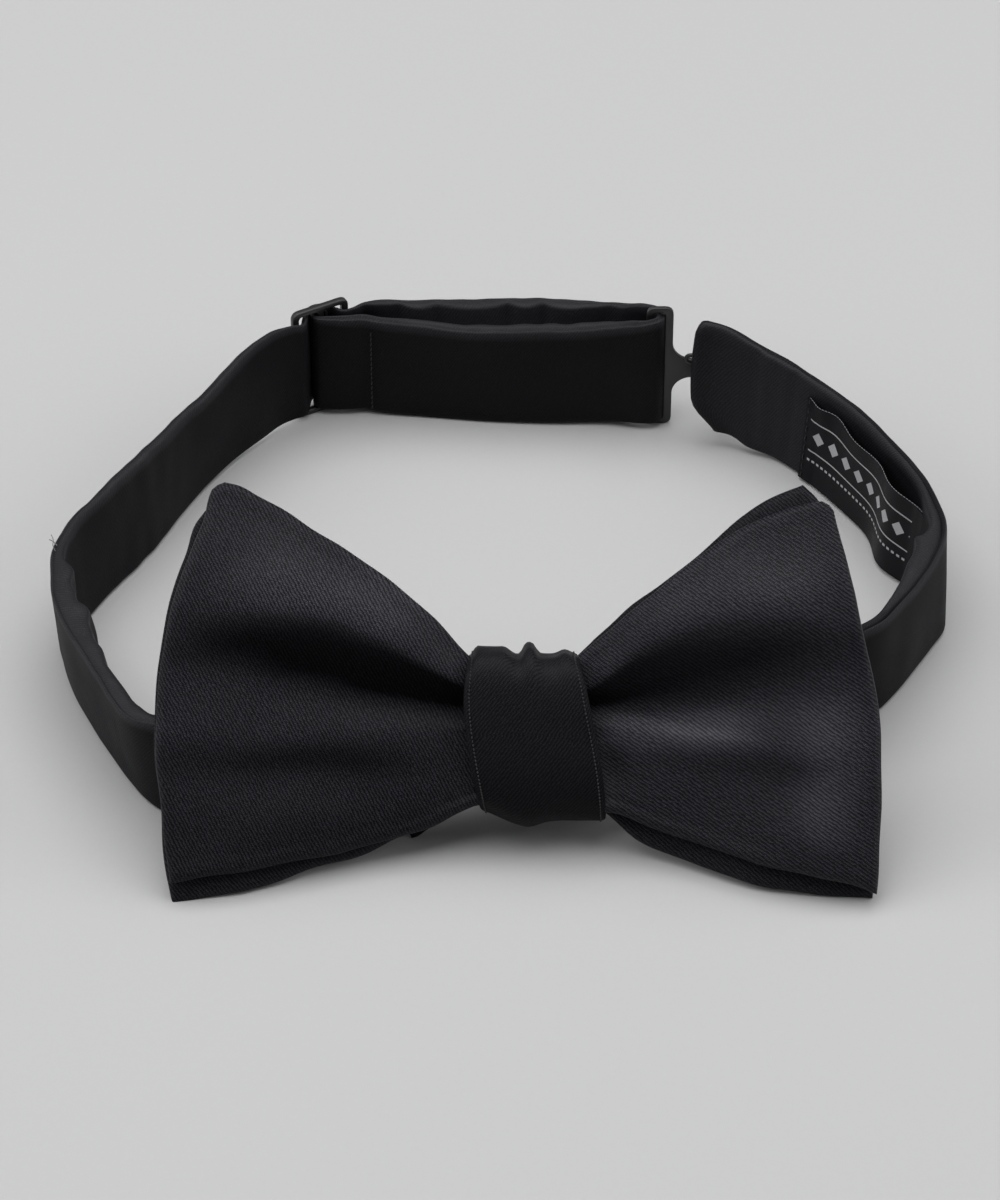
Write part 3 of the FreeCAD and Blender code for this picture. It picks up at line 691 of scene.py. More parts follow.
def hem(dist, height):
    """Soft ridge over the turned seam allowance just inside an edge, and the dip where it ends."""
    return height * bell(dist - 1.25, 0.5) - 0.55 * height * bell(dist - 2.35, 0.5)


def twill_turns(grid, left, right):
    """Weave direction per column: one for each wing."""
    return [left if column[0, 0] < MIDDLE_U else right for column in grid]


FRONT_THICK, BACK_THICK, EDGE = 2.1, 1.9, 1.15


def make_front_bow():
    grid, dist = layer_grid(FRONT_LEFT, FRONT_RIGHT, EDGE)
    u, v = grid[..., 0], grid[..., 1]
    w = front_depth(u, v)
    half = half_thickness(dist, EDGE, FRONT_THICK)
    front = bow_point(u, v, w + half + hem(dist, 0.22) * (0.35 + 0.65 * ramp(v, 40, 18)) * (half > 0))
    back = bow_point(u, v, w - half)
    twill = twill_turns(grid, 28, 55)
    obj = pad_mesh("front_bow_satin", front, back, grid, BOW_SATIN, twill, front_shade(u, v))
    declare(obj, ROOT, ["front_bow", "front_bow_interlining"])


def make_back_bow():
    grid, dist = layer_grid(BACK_LEFT, BACK_RIGHT, EDGE)
    u, v = grid[..., 0], grid[..., 1]
    room = (FRONT_THICK + BACK_THICK) / 2 + 0.25
    limit = front_depth(u, v) - room
    base = lookup(BACK_DEPTH, u) + ripple(u, v, 8, 24, 0.2)
    blend = np.clip(0.5 + (base - limit) / 2.4, 0, 1)
    w = base + (limit - base) * blend - 0.6 * blend * (1 - blend)
    half = half_thickness(dist, EDGE, BACK_THICK)
    front = bow_point(u, v, w + half)
    back = bow_point(u, v, w - half - hem(dist, 0.16) * (half > 0))
    twill = twill_turns(grid, 40, 48)
    # Painted shade: the whole back layer darkened evenly, as it lies behind the front layer.
    obj = pad_mesh("back_bow_satin", front, back, grid, BOW_SATIN, twill, np.full(u.shape, 0.35))
    declare(obj, ROOT, ["back_bow", "back_bow_interlining"])


# ---- knot
KNOT_RING, KNOT_ACROSS = 132, 34
KNOT_HALF_HEIGHT, KNOT_HALF_DEPTH, KNOT_CENTRE_W = 13.2, 8, -7.1
KNOT_SQUARE = 3.6
KNOT_HALF_WIDTH, KNOT_WALL = 9.35, 1.5


def knot_surface(turn, b, sink):
    """Point of the knot at an angle round its ring, b across it, and sink below its outer face."""
    s, c = np.sin(turn), np.cos(turn)
    power = 2 / KNOT_SQUARE
    v = KNOT_HALF_HEIGHT * np.sign(s) * np.abs(s) ** power
    w = KNOT_HALF_DEPTH * np.sign(c) * np.abs(c) ** power
    nv = np.sign(s) * np.abs(s) ** (2 - power) / KNOT_HALF_HEIGHT
    nw = np.sign(c) * np.abs(c) ** (2 - power) / KNOT_HALF_DEPTH
    size = np.hypot(nv, nw)
    nv, nw = nv / size, nw / size
    level = v / KNOT_HALF_HEIGHT
    top = ramp(level, 0.35, 1)
    bottom = ramp(level, -0.55, -1)
    peak = 1.75 * np.exp(-np.abs((b - 1.1) / 1.25) ** 3.2) * (1 - 0.3 * ramp(w, 3, 7.5))
    rise = 1.35 * stretch(b, -8.9, -7.6, -3.4, -0.9) + 0.75 * bell(b - 7, 1.3) - 1.5 + peak
    drop = 1.55 * ramp(b, -9.8, -4.5) + 0.85 * bell(b + 2.5, 2.2) - 0.8
    pleats = bell(b - 1.6 - 0.08 * v, 0.9) + bell(b + 1.9 - 0.05 * v, 1)
    swell = 0.16 * pleats * ramp(level, -0.3, 0.7) * ramp(w, 2, 7)
    swell += ripple(b, v + 2 * w, 21, 9, 0.1)
    w = w + 0.13 * v * ramp(w, -4, 6)
    v = v + nv * (swell - sink) + top * rise - bottom * drop
    w = w + nw * (swell - sink)
    wide = 1.064 - 0.055 * level - 0.089 * level**2
    across = b * wide - math.tan(KNOT_LEAN) * v - 0.2 - 0.6 * bell(v - 4, 9)
    return bow_point(KNOT_MIDDLE[0] + across, KNOT_MIDDLE[1] + v, KNOT_CENTRE_W + w)


def knot_section():
    """Closed section of the band: b across, sink into it; point j lies under point -1-j."""
    half, r = KNOT_HALF_WIDTH, KNOT_WALL / 2
    flat = np.linspace(-half + r, half - r, KNOT_ACROSS)
    bend = np.linspace(0.15, math.pi / 2, 5)
    left = [(-half + r - r * math.cos(a), r - r * math.sin(a)) for a in bend[:-1]]
    outer = left + [(x, 0) for x in flat] + [(-x, y) for x, y in left[::-1]]
    inner = [(x, KNOT_WALL - y) for x, y in outer]
    return np.array(outer + inner[::-1])


def knot_stitch(turn, b, ahead_turn, ahead_b, sink, out_sink):
    """Stitch on the knot: its place, a direction along it and a direction out of the cloth."""
    here, ahead, above = (
        knot_surface(np.array([turn + d_turn]), np.array([b + d_b]), d_sink)[0]
        for d_turn, d_b, d_sink in ((0, 0, sink), (ahead_turn, ahead_b, sink), (0, 0, out_sink)))
    return here, ahead - here, above - here


def make_knot():
    section = knot_section()
    angles = np.linspace(0, math.tau, 4001)
    run = along(knot_surface(angles, np.zeros_like(angles), 0))
    lengths = np.linspace(0, run[-1], KNOT_RING + 1)
    turns = np.interp(lengths[:-1], run, angles)
    rings = knot_surface(turns[:, None], section[None, :, 0], section[None, :, 1])
    # Painted shade: the whole knot a little darker, and darker still towards its lower side.
    shade = 0.08 + 0.42 * ramp(np.sin(turns), 0.35, -0.6)
    shade = np.repeat(shade[:, None], len(section), axis=1)
    obj = tube("knot_band_satin", rings, lengths, KNOT_SATIN, twill=-48, closed=True, shade=shade)
    declare(obj, ROOT, ["knot_band", "knot_interlining"])
    edge = KNOT_HALF_WIDTH - 0.85
    stitches = []
    for side in (-1, 1):
        for turn in turns_between(run, angles, -1.75, 2.3, 0.62):
            stitches.append(knot_stitch(turn, side * edge, 0.004, side * 0.004, -0.02, -0.2))
    add_stitches("knot_edge_stitches", stitches, 0.46, 0.13, ROOT, [])
    back = []
    for index in range(7):
        back.append(knot_stitch(math.pi + 0.02, (index - 3) * 2.2, 0.16, 0.9, -0.05, -0.4))
    add_stitches("knot_whip_stitches", back, 2.6, 0.16, ROOT, ["knot_back_stitches"])


def turns_between(run, angles, low, high, step):
    """Angles round the knot a fixed distance apart, from low to high (0 is the front's middle)."""
    full = run[-1]
    first, last = (np.interp(turn % math.tau, angles, run) for turn in (low, high))
    if first > last:
        first -= full
    return np.interp(np.arange(first, last, step) % full, run, angles)


# ---- stitches
def add_stitches(name, stitches, length, radius, body, nodes, material=THREAD):
    """Short arched threads; each is a place, a direction along it and a direction out of the cloth."""
    points, faces = [], []
    rings, sides = 7, 6
    for place, ahead, out in stitches:
        ahead = np.asarray(ahead) / np.linalg.norm(ahead)
        out = np.asarray(out) / np.linalg.norm(out)
        side = np.cross(ahead, out)
        first = len(points)
        for i in range(rings):
            share = i / (rings - 1)
            arch = math.sin(math.pi * share)
            r = radius * (0.25 + 0.75 * math.sin(math.pi * (0.08 + 0.84 * share)))
            middle = place + ahead * length * (share - 0.5) + out * (radius * 1.1 * arch - 0.35 * radius)
            for k in range(sides):
                a = math.tau * k / sides
                points.append(middle + side * r * math.cos(a) + out * r * math.sin(a) * 0.85)
        for i in range(rings - 1):
            for k in range(sides):
                a, b = first + i * sides + k, first + i * sides + (k + 1) % sides
                faces.append((a, b, b + sides, a + sides))
        faces.append(tuple(first + k for k in range(sides))[::-1])
        faces.append(tuple(first + (rings - 1) * sides + k for k in range(sides)))
    obj = make_object(name, points, faces, None, material)
    weld(obj, 0.0005)
    declare(obj, body, nodes)


# ---- straps
FACE_POINTS, ROUND_POINTS = 14, 6
STRAP_STEP, TAIL_STEP = 0.9, 0.25


def strap_frame(rows, side):
    """Place, outward and upward directions of each sampled station."""
    heading = np.gradient(rows[:, :2], axis=0)
    heading /= np.linalg.norm(heading, axis=1)[:, None]
    lean = np.radians(rows[:, 3])
    out_x, out_y = -heading[:, 1] * side, heading[:, 0] * side
    up = np.stack([out_x * np.sin(lean), out_y * np.sin(lean), np.cos(lean)], axis=1)
    out = np.stack([out_x * np.cos(lean), out_y * np.cos(lean), -np.sin(lean)], axis=1)
    ahead = np.stack([heading[:, 0], heading[:, 1], np.zeros(len(rows))], axis=1)
    return rows[:, :3], ahead, out, up


def section(thick, height, groove, groove_at):
    """Strap section as (w, v) rows for every station: up the outer face, over the grooved top, down."""
    bend = np.linspace(0.1, math.pi / 2, ROUND_POINTS)
    round_w, round_v = np.sin(bend), 1 - np.cos(bend)
    half = thick[:, None] / 2
    face = np.linspace(0, 1, FACE_POINTS + 2)[1:-1][None, :]
    v_face = half + (height[:, None] - 2 * half) * face
    w_face = half * (0.9 + 0.16 * np.sin(math.pi * face))
    w = np.concatenate([half * round_w * 0.9, w_face, half * round_w[::-1] * 0.9], axis=1)
    v = np.concatenate([half * round_v, v_face, height[:, None] - half * round_v[::-1]], axis=1)
    top = np.arange(w.shape[1]) >= ROUND_POINTS + FACE_POINTS
    w = np.concatenate([w, -w[:, ::-1]], axis=1)
    v = np.concatenate([v, v[:, ::-1]], axis=1)
    top = np.concatenate([top, top[::-1]])
    return w, v - np.where(top, groove * bell(w - groove_at * half, 0.3), 0)


def strap_rings(rows, side, seed, groove, groove_at, wave, shift):
    """Rings of a strap on edge, their lengths, a painted highlight on the top edge, and which points face
    inward.

    shift(s, v, inner) says how far the inner ply stands off, for folds and ruffles.
    """
    base, _, out, up = strap_frame(rows, side)
    s = along(rows[:, :2])
    high = BAND_HEIGHT + rows[:, 6]
    w, v = section(rows[:, 4], high, groove, groove_at)
    level = v / high[:, None]
    s2, wave = s[:, None], np.reshape(wave, (-1, 1))
    middle = ripple(s2, v * 0.6, seed, 34, 1) + ripple(s2, v * 0.5, seed + 1, 12, 0.32)
    w2 = w + wave * middle * (0.35 + 0.65 * level)
    inner = np.clip(-w / 0.6, 0, 1) * rows[:, 5:6]
    w2 = w2 - shift(s2, v, inner)
    lift = ripple(s2, w * 2, seed + 2, 26, 0.16) + ripple(s2, w * 3, seed + 4, 7, 0.06)
    lift = lift * ramp(level, 0.6, 1)
    points = base[:, None] + up[:, None] * (v + lift)[..., None] + out[:, None] * w2[..., None]
    points[..., 2] = np.maximum(points[..., 2], 0)
    # The top edge gets a painted highlight through the shade value.
    return points, s, -1 * ramp(level, 0.91, 0.97), w < 0


def close_end(rings, s, shade, rows, bulge, first):
    """Close an end of the right strap in a soft fold, bowed outward in its middle."""
    index = 0 if first else -1
    base, ahead, _, up = strap_frame(rows, -1)
    forward = -ahead[0] if first else ahead[-1]
    ring = rings[index]
    centre = (ring + ring[::-1]) / 2
    v = (ring - base[index]) @ up[index]
    share = np.clip(v / BAND_HEIGHT, 0, 1)
    bow = bulge * (1 - np.abs(2 * share - 1.05) ** 2.6)
    half = rows[index, 4] / 2
    extra = []
    for a in np.linspace(0, math.pi / 2, 7)[1:]:
        point = centre + (ring - centre) * max(math.cos(a), 0.06)
        extra.append(point + forward * (half * math.sin(a) + bow * math.sin(a))[:, None])
    more = np.arange(1, len(extra) + 1) * TAIL_STEP
    same = [shade[index]] * len(extra)
    if first:
        parts = (extra[::-1], rings), (s[0] - more[::-1], s), (same, shade)
    else:
        parts = (rings, extra), (s, s[-1] + more), (shade, same)
    return (np.concatenate(part) for part in parts)


def slider_place(a, b, low=STRAP_RISE, thick=1):
    c, s = math.cos(SLIDER_ANGLE), math.sin(SLIDER_ANGLE)
    rise = 0.9 * float(bell(a + 7.4, 2.2))
    return (SLIDER_CENTRE[0] + a * c - b * s, SLIDER_CENTRE[1] + a * s + b * c, low, 0, thick, 0, rise)


def in_knot(u, w):
    """Strap station where it passes behind the knot."""
    v = KNOT_MIDDLE[1] - BAND_HEIGHT / 2 - 1 + (u - MIDDLE_U) * math.tan(KNOT_LEAN)
    return bow_station(u, v, w)


WEAVE = [(-8.2, -1.6), (-5.6, -1.45), (-3.9, -1.45), (-2.75, 0), (-1.1, 1.85), (0, 2.15), (1.1, 1.85),
         (2.75, 0), (3.9, -1.45), (5.6, -1.45), (8, -1)]
TONGUE = [(6.2, -4.05), (4, -3.35), (1.9, -2.5), (0.4, -1.8)]
BAR_RADIUS = 1.25


def chain():
    """The whole left strap from the knot through slider and loop back to the bar, and where it is cut."""
    route = [in_knot(14.6, -9.8), in_knot(-5.6, -9.8)] + LEFT_ROUTE
    marks = [len(route)]
    weave = [slider_place(a, b, thick=1.25 if abs(a) > 7 else 1) for a, b in WEAVE]
    for part in (weave, BACK_LAYER, FOLD, FRONT_LAYER):
        route += part
        marks.append(len(route) - 1)
    tongue = zip(TONGUE, (0.8, 0.95, 1.05, 1.15), (1.9, 1.7, 1.3, 0.9))
    route += [slider_place(a, b, low, thick) for (a, b), low, thick in tongue]
    for degrees in (215, 170, 125, 80, 35, -10):
        angle = math.radians(degrees)
        route.append(slider_place(BAR_RADIUS * math.cos(angle), BAR_RADIUS * math.sin(angle), thick=0.6))
    rows = spline(route, STRAP_STEP * 0.5)
    return rows, [nearest(rows, route[mark][:2]) for mark in marks]


def make_left_chain():
    """The left strap's six pieces, cut from one run of rings."""
    rows, cuts = chain()
    length = along(rows[:, :2])
    a, b, c, d, e = (length[i] for i in cuts)
    wave = 0.3 * ramp(length, a, a - 14) + 0.15 * stretch(length, b, b + 8, c - 6, c)
    wave += 0.16 * stretch(length, d, d + 6, e - 12, e - 6)

    def in_loop(s):
        return stretch(s, b - 2, b + 4, c + 1, c + 9)

    def plies(s, v, inner):
        """The inner ply: plain along the band, ruffled and bowed forward in the loop's back layer."""
        loop = in_loop(s)
        lobe = np.sqrt(np.sin(s * math.pi / 8.7 + 0.6 * np.sin(s * 0.31)) ** 2 + 0.02)
        bowed = (1 - 0.85 * ramp(v, 9, 21.5)) + 0.34 * (lobe - 0.5) * ramp(v, 4, 13)
        plain = 1 + 0.25 * ripple(s, v * 0.4, 34, 7, 1)
        return inner * (loop * bowed + (1 - loop) * plain)

    rings, s, shade, inside = strap_rings(rows, 1, 31, 0.55, 0.25, wave, plies)
    # Painted highlight: the loop's inner face lightened, where it lies in shade between the layers.
    shade = np.where(inside, np.minimum(shade, -0.75 * in_loop(s)[:, None]), shade)
    along_back = (FOLD_BODY, (-12, 61, 10), (15, 61, 10))
    along_front = (FOLD_BODY, (-12, 55.4, 10), (15, 53.5, 10))
    beside_slider = (SLIDER_BODY, (-56, 28, 10), (-40.5, 48.6, 10))
    ends = [0, *cuts, len(rows) - 1]
    pieces = [
        ("left_band_satin", ROOT, ["left_band", "left_band_interlining"], beside_slider),
        ("band_through_slider_satin", SLIDER_BODY, ["band_through_slider"], None),
        ("loop_back_layer_satin", SLIDER_BODY, ["loop_back_layer"], along_back),
        ("loop_fold_satin", FOLD_BODY, ["loop_fold"], None),
        ("loop_front_layer_satin", SLIDER_BODY, ["loop_front_layer"], along_front),
        ("strap_end_turn_satin", SLIDER_BODY, ["strap_end_turn"], None),
    ]
    for (name, body, nodes, blend), low, high in zip(pieces, ends[:-1], ends[1:]):
        part = slice(low, high + 1)
        obj = tube(name, rings[part], s[part], BAND_SATIN, twill=32, shade=shade[part])
        declare(obj, body, nodes, blend)


def nearest(rows, place):
    return int(np.argmin(np.linalg.norm(rows[:, :2] - np.array(place), axis=1)))


def right_rows():
    """The right strap from its corner under the left wing, behind the knot, to its free end."""
    hidden = [bow_station(-12.8, 9.3, -11.6), in_knot(-5.6, -12.1), in_knot(16.6, -12.1)]
    return spline(hidden + RIGHT_ROUTE, STRAP_STEP)


def make_right_band():
    rows = right_rows()
    length = along(rows[:, :2])
    patch = length[nearest(rows, (45.2, 44.8))]

    def plies(s, v, inner):
        """The inner ply, with a short thicker stretch where a join lies under it."""
        join = 0.42 * stretch(s, patch - 3.4, patch - 2.4, patch + 2.2, patch + 3.2)
        crease = 0.25 * bell(s - patch + 3.4, 0.5) + 0.2 * bell(s - patch - 3.2, 0.5)
        share = np.clip(inner * 4, 0, 1) * ramp(v, 0.8, 3.5)
        return inner * (1 + 0.25 * ripple(s, v * 0.4, 54, 7, 1)) + (join - crease) * share

    rings, s, shade, inside = strap_rings(rows, -1, 51, 1.1, 0.15, 0.26, plies)
    # Painted highlight on the inner face around the join.
    painted_light = -0.7 * bell(s - patch, 16)[:, None]
    shade = np.where(inside, np.minimum(shade, painted_light), shade)
    base, ahead, _, up = strap_frame(rows, -1)
    share = ((rings - base[:, None]) * up[:, None]).sum(axis=2) / (BAND_HEIGHT + rows[:, 6:7])
    outline = 0.8 * np.sin(math.pi * np.clip(share, 0, 1)) - 3.5 * ramp(share, 0.32, -0.02) ** 1.4
    outline -= 0.8 * ramp(share, 0.86, 1) ** 2
    rings = rings + (outline * ramp(s[-1] - s, 10, 0)[:, None])[..., None] * ahead[-1]
    rings, s, shade = close_end(rings, s, shade, rows, 0, first=False)
    rings, s, shade = close_end(rings, s, shade, rows, 0.3, first=True)
    obj = tube("right_band_satin", rings, s, BAND_SATIN, twill=-32, shade=shade)
    declare(obj, ROOT, ["right_band", "right_band_interlining"],
            (RIGHT_BODY, (17, -43, 10), (35, -34.7, 10)))


# ---- label
LABEL_ENDS = ((68.9, 10.2), (49.4, 41.3))
LABEL_HEIGHT, LABEL_THICK, LABEL_FOOT = 16.4, 0.3, 0.5
LABEL_ROWS = 22


def make_label():
    """Label sewn down at its two short ends; it stands off where the band turns."""
    band = right_rows()
    low, high = (nearest(band, place) for place in LABEL_ENDS)
    rows = spline(band[low:high + 1:3], 0.6)
    base, _, out, up = strap_frame(rows, -1)
    s = along(rows[:, :2])
    span = s[-1]
    rings = []
    for i in range(len(rows)):
        share = s[i] / span
        stand = 1.32 + 2.3 * bell(share - 0.24, 0.16) + 0.3 * bell(share - 0.6, 0.2)
        belly = 0.9 * bell(share - 0.64, 0.12) + 1.1 * bell(share - 0.9, 0.07)
        belly += 0.3 * bell(share - 0.24, 0.2)
        sag = 0.5 * bell(share - 0.55, 0.15) - 0.3 * bell(share - 0.8, 0.1)
        turned_in = 1 + 0.9 * max(ramp(s[i], 2.9, 2.3), ramp(span - s[i], 2.9, 2.3))
        half = LABEL_THICK / 2 * turned_in
        outer, inner = [], []
        for v in np.linspace(0, LABEL_HEIGHT, LABEL_ROWS):
            level = v / LABEL_HEIGHT
            off = -stand * (1.12 - 0.12 * level) - belly * level ** 2.5
            point = base[i] + up[i] * (LABEL_FOOT + v - sag * level ** 2) + out[i] * off
            outer.append(point + out[i] * half)
            inner.append(point - out[i] * half)
        rings.append(inner + outer[::-1])
    rings = np.array(rings)
    obj = tube("woven_label", rings, s, LABEL)
    declare(obj, RIGHT_BODY, ["label"])
    top = (rings[:, LABEL_ROWS - 1] + rings[:, LABEL_ROWS]) / 2
    edge = [(top[i], top[i + 1] - top[i], up[i]) for i in range(len(rows) - 1)]
    add_stitches("label_edge_thread", edge, 0.55, 0.07, RIGHT_BODY, [], PALE_THREAD)
    sewn = []
    for i in (1, len(rows) - 2):
        for step in range(9):
            place = base[i] + up[i] * (LABEL_FOOT + 0.7 + step * 1.9)
            sewn.append((place + out[i] * -(1.5 + LABEL_THICK / 2 + 0.12), up[i], -out[i]))
    add_stitches("label_end_stitches", sewn, 1.35, 0.13, RIGHT_BODY, ["label_stitches"])


# ---- hardware
def rounded(points, radius, steps):
    """Closed outline with its corners rounded; radius is one value or one per corner."""
    radii = radius if isinstance(radius, (list, tuple)) else [radius] * len(points)
    line = []
    count = len(points)
    for i in range(count):
        p, before, after = (np.array(points[k % count], float) for k in (i, i - 1, i + 1))
        d1, d2 = before - p, after - p
        r = min(radii[i], np.linalg.norm(d1) * 0.49, np.linalg.norm(d2) * 0.49)
        a, b = p + d1 / np.linalg.norm(d1) * r, p + d2 / np.linalg.norm(d2) * r
        for k in range(steps + 1):
            t = k / steps
            line.append((1 - t) ** 2 * a + 2 * t * (1 - t) * p + t * t * b)
    return line


def plate(name, outlines, thick, bevel, place, turn):
    """Flat metal plate with softened edges from closed outlines: its rim first, then its holes."""
    curve = bpy.data.curves.new(name, "CURVE")
    curve.dimensions = "2D"
    curve.fill_mode = "BOTH"
    for outline in outlines:
        line = curve.splines.new("POLY")
        line.points.add(len(outline) - 1)
        for point, (x, y) in zip(line.points, outline):
            point.co = (x * MM, y * MM, 0, 1)
        line.use_cyclic_u = True
    curve.offset = -bevel * MM
    curve.extrude = (thick / 2 - bevel) * MM
    curve.bevel_depth = bevel * MM
    curve.bevel_resolution = 3
    made = as_mesh(placed(name, curve), name, BLACK_METAL)
    made.data.transform(made.matrix_world)
    data = made.data
    co = np.array([v.co for v in data.vertices])
    c, s = math.cos(turn), math.sin(turn)
    x, z, y = co[:, 0], co[:, 1], -co[:, 2]
    moved = np.stack([x * c - y * s + place[0] * MM, x * s + y * c + place[1] * MM, z], axis=1)
    data.vertices.foreach_set("co", moved.ravel())
    return weld(made, 0.002)


def make_slider():
    half, high, bar, rail = 5.2, 22.5, 1.2, 1
    rim = rounded([(-half, 0), (half, 0), (half, high), (-half, high)], 1.5, 7)
    slots = []
    for low, far in ((-half + bar, -bar / 2), (bar / 2, half - bar)):
        slots.append(rounded([(low, rail), (low, high - rail), (far, high - rail), (far, rail)], 0.7, 4))
    obj = plate("black_slider", [rim, *slots], 1.2, 0.32, SLIDER_CENTRE, SLIDER_ANGLE)
    declare(obj, SLIDER_BODY, ["slider"])


def make_hook():
    left, bar, slot, body = 24, 1.2, 1.9, 1.4
    body_left = left + bar + slot
    body_right = body_left + body
    high, rail = 25, 1
    neck, half = 12, 1.85
    end_x, gap, tip = 43.4, 1.3, 4.6
    metal = 0.8
    bend = gap / 2 + metal / 2
    reach = end_x - metal / 2 - bend + math.pi * bend + tip - metal
    flare = []
    for k in range(9):
        a = math.pi / 2 * k / 8
        flare.append((body_right + 3.4 * (1 - math.cos(a)), neck + half + 3.4 * (1 - math.sin(a))))
    order = [(left, 0), (body_right, 0)] + [(x, 2 * neck - y) for x, y in flare]
    order += [(reach, neck - half), (reach, neck + half)] + flare[::-1] + [(body_right, high), (left, high)]
    radii = [1.5, 1.5] + [0.05] * len(flare) + [0.9, 0.9] + [0.05] * len(flare) + [1.5, 1.5]
    rim = rounded(order, radii, 4)
    window = [(left + bar, rail), (left + bar, high - rail), (body_left, high - rail), (body_left, rail)]
    hole = rounded(window, 0.6, 4)
    obj = plate("black_hook", [rim, hole], metal, 0.18, (0, HOOK_Y), 0)
    bm = bmesh.new()
    bm.from_mesh(obj.data)
    start = end_x - metal / 2 - bend
    for k in range(14):
        x = (start + math.pi * bend * k / 13) * MM
        geometry = list(bm.verts) + list(bm.edges) + list(bm.faces)
        bmesh.ops.bisect_plane(bm, geom=geometry, plane_co=(x, 0, 0), plane_no=(1, 0, 0), dist=1e-7)
    for vert in bm.verts:
        x, y = vert.co.x / MM, vert.co.y / MM - HOOK_Y
        if x <= start:
            continue
        angle = min((x - start) / bend, math.pi)
        rest = x - start - bend * angle
        radius = bend + y
        vert.co.x = (start + radius * math.sin(angle) - rest) * MM
        vert.co.y = (HOOK_Y - bend + radius * math.cos(angle)) * MM
    bm.to_mesh(obj.data)
    bm.free()
    declare(obj, HOOK_BODY, ["hook"])


def wire(name, points, radius, material):
    """Round wire along a smooth line through its control points."""
    curve = bpy.data.curves.new(name, "CURVE")
    curve.dimensions = "3D"
    line = curve.splines.new("NURBS")
    line.points.add(len(points) - 1)
    for point, place in zip(line.points, points):
        point.co = (*(c * MM for c in place), 1)
    line.order_u = 3
    line.use_endpoint_u = True
    line.resolution_u = 8
    curve.bevel_depth = radius * MM
    curve.bevel_resolution = 4
    curve.use_fill_caps = True
    return weld(as_mesh(placed(name, curve), name, material), 0.001)


def make_eye():
    foot_x, foot_y = 39, 51.95
    tail = [(31.9, EYE_Y, 13.9), (30.9, EYE_Y, 14.1), (30.7, EYE_Y, 15.3), (31.9, EYE_Y, 15.6),
            (32.8, EYE_Y, EYE_HIGH), (EYE_X - 0.6, EYE_Y, EYE_HIGH), (35.4, 52.5, EYE_HIGH)]
    loop = [(foot_x, foot_y, EYE_HIGH), (36.5, 52.3, EYE_HIGH), (EYE_X + 0.2, EYE_Y, EYE_HIGH),
            (EYE_X, EYE_Y, EYE_HIGH - 0.6), (EYE_X, EYE_Y, 12), (EYE_X, EYE_Y, EYE_LOW + 0.6),
            (EYE_X + 0.2, EYE_Y, EYE_LOW), (36.5, 52.3, EYE_LOW), (foot_x, foot_y, EYE_LOW)]
    parts = [wire("eye_loop", loop, 0.45, BLACK_METAL), wire("eye_tail", tail, 0.36, BLACK_METAL)]
    obj = joined("black_eye", parts)
    declare(obj, RIGHT_BODY, ["eye"])
    stitches = []
    for low in (EYE_LOW, EYE_HIGH):
        for step in range(4):
            x = 36.2 + step * 0.75
            y = EYE_Y + (x - EYE_X) * (foot_y - EYE_Y) / (foot_x - EYE_X)
            stitches.append((np.array([x, y + 0.36, low]), (0.15, 0, 1), (0.14, 1, 0)))
    add_stitches("eye_whip_stitches", stitches, 1.7, 0.14, RIGHT_BODY, ["eye_stitches"])


def make_bartack():
    """Upright row of stitches through the turned end of the strap."""
    stitches = []
    for step in range(16):
        place = np.array([-22.2, 55.06, 2.2 + step * 1.05])
        stitches.append((place, (0.12, 0, 1), (-0.1, -1, 0)))
    add_stitches("strap_end_bartack", stitches, 0.85, 0.11, SLIDER_BODY, ["bartack_stitches"])


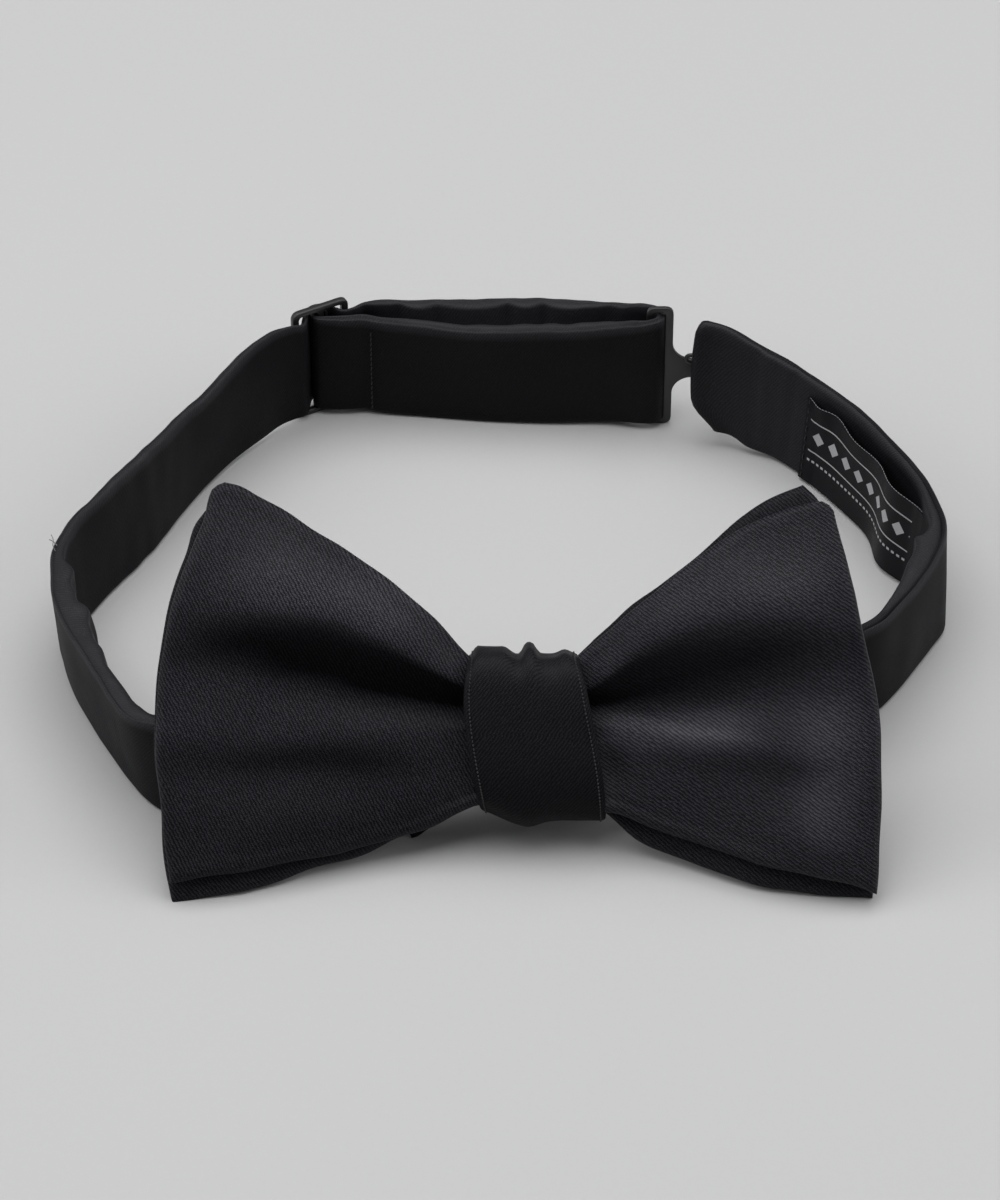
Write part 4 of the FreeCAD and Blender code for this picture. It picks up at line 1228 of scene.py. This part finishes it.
def make_loose_threads():
    """Two stray pale threads at the left fold."""
    for index, points in enumerate((
        [(-71.4, -1.6, 19.6), (-71.9, -1.2, 20.4), (-71.6, -0.4, 21), (-72.1, 0.3, 21.4)],
        [(-71.2, -0.4, 19.7), (-71.9, 0.2, 20.3), (-72.4, -0.2, 20.8)],
    )):
        obj = wire("stray_thread_%d" % (index + 1), points, 0.07, PALE_THREAD)
        declare(obj, ROOT, [])


# ---- floor, light, camera
def make_stage():
    size = 3
    mesh = bpy.data.meshes.new("floor")
    corners = [(-size, -size, 0), (size, -size, 0), (size, size, 0), (-size, size, 0)]
    mesh.from_pydata(corners, [], [(0, 1, 2, 3)])
    mesh.materials.append(plain_material("pale_paper", (0.58, 0.58, 0.58), 0.9))
    placed("floor", mesh)
    world = bpy.data.worlds.new("studio")
    bpy.context.scene.world = world
    world.use_nodes = True
    world.node_tree.nodes["Background"].inputs[0].default_value = (0.97, 0.98, 1, 1)
    world.node_tree.nodes["Background"].inputs[1].default_value = 0.13


def area_light(name, place, target, size, power):
    data = bpy.data.lights.new(name, "AREA")
    data.shape = "RECTANGLE"
    data.size, data.size_y = size
    data.energy = power
    light = placed(name, data)
    light.location = place
    light.rotation_euler = (Vector(target) - Vector(place)).to_track_quat("-Z", "Y").to_euler()


def make_camera():
    data = bpy.data.cameras.new("camera")
    data.lens = 155.1
    data.sensor_width = 36
    data.sensor_fit = "AUTO"
    camera = placed("camera", data)
    target = Vector((-0.0005, 0.0085, 0))
    rise, distance = math.radians(42), 0.845
    camera.location = target + distance * Vector((0, -math.cos(rise), math.sin(rise)))
    camera.rotation_euler = (target - camera.location).to_track_quat("-Z", "Y").to_euler()
    bpy.context.scene.camera = camera


make_stage()
area_light("overhead", (-0.05, 0.12, 1.15), (0, 0, 0), (1.4, 1.2), 13)
area_light("left_side", (-1.05, -0.05, 0.65), (0, 0, 0), (1, 0.8), 4.2)
area_light("right_side", (1.05, -0.05, 0.65), (0, 0, 0), (1, 0.8), 4.2)
make_camera()
bpy.context.scene.view_settings.view_transform = "Standard"

make_front_bow()
make_back_bow()
make_knot()
make_left_chain()
make_right_band()
make_label()
make_slider()
make_hook()
make_eye()
make_bartack()
make_loose_threads()

bpy.context.view_layer.update()
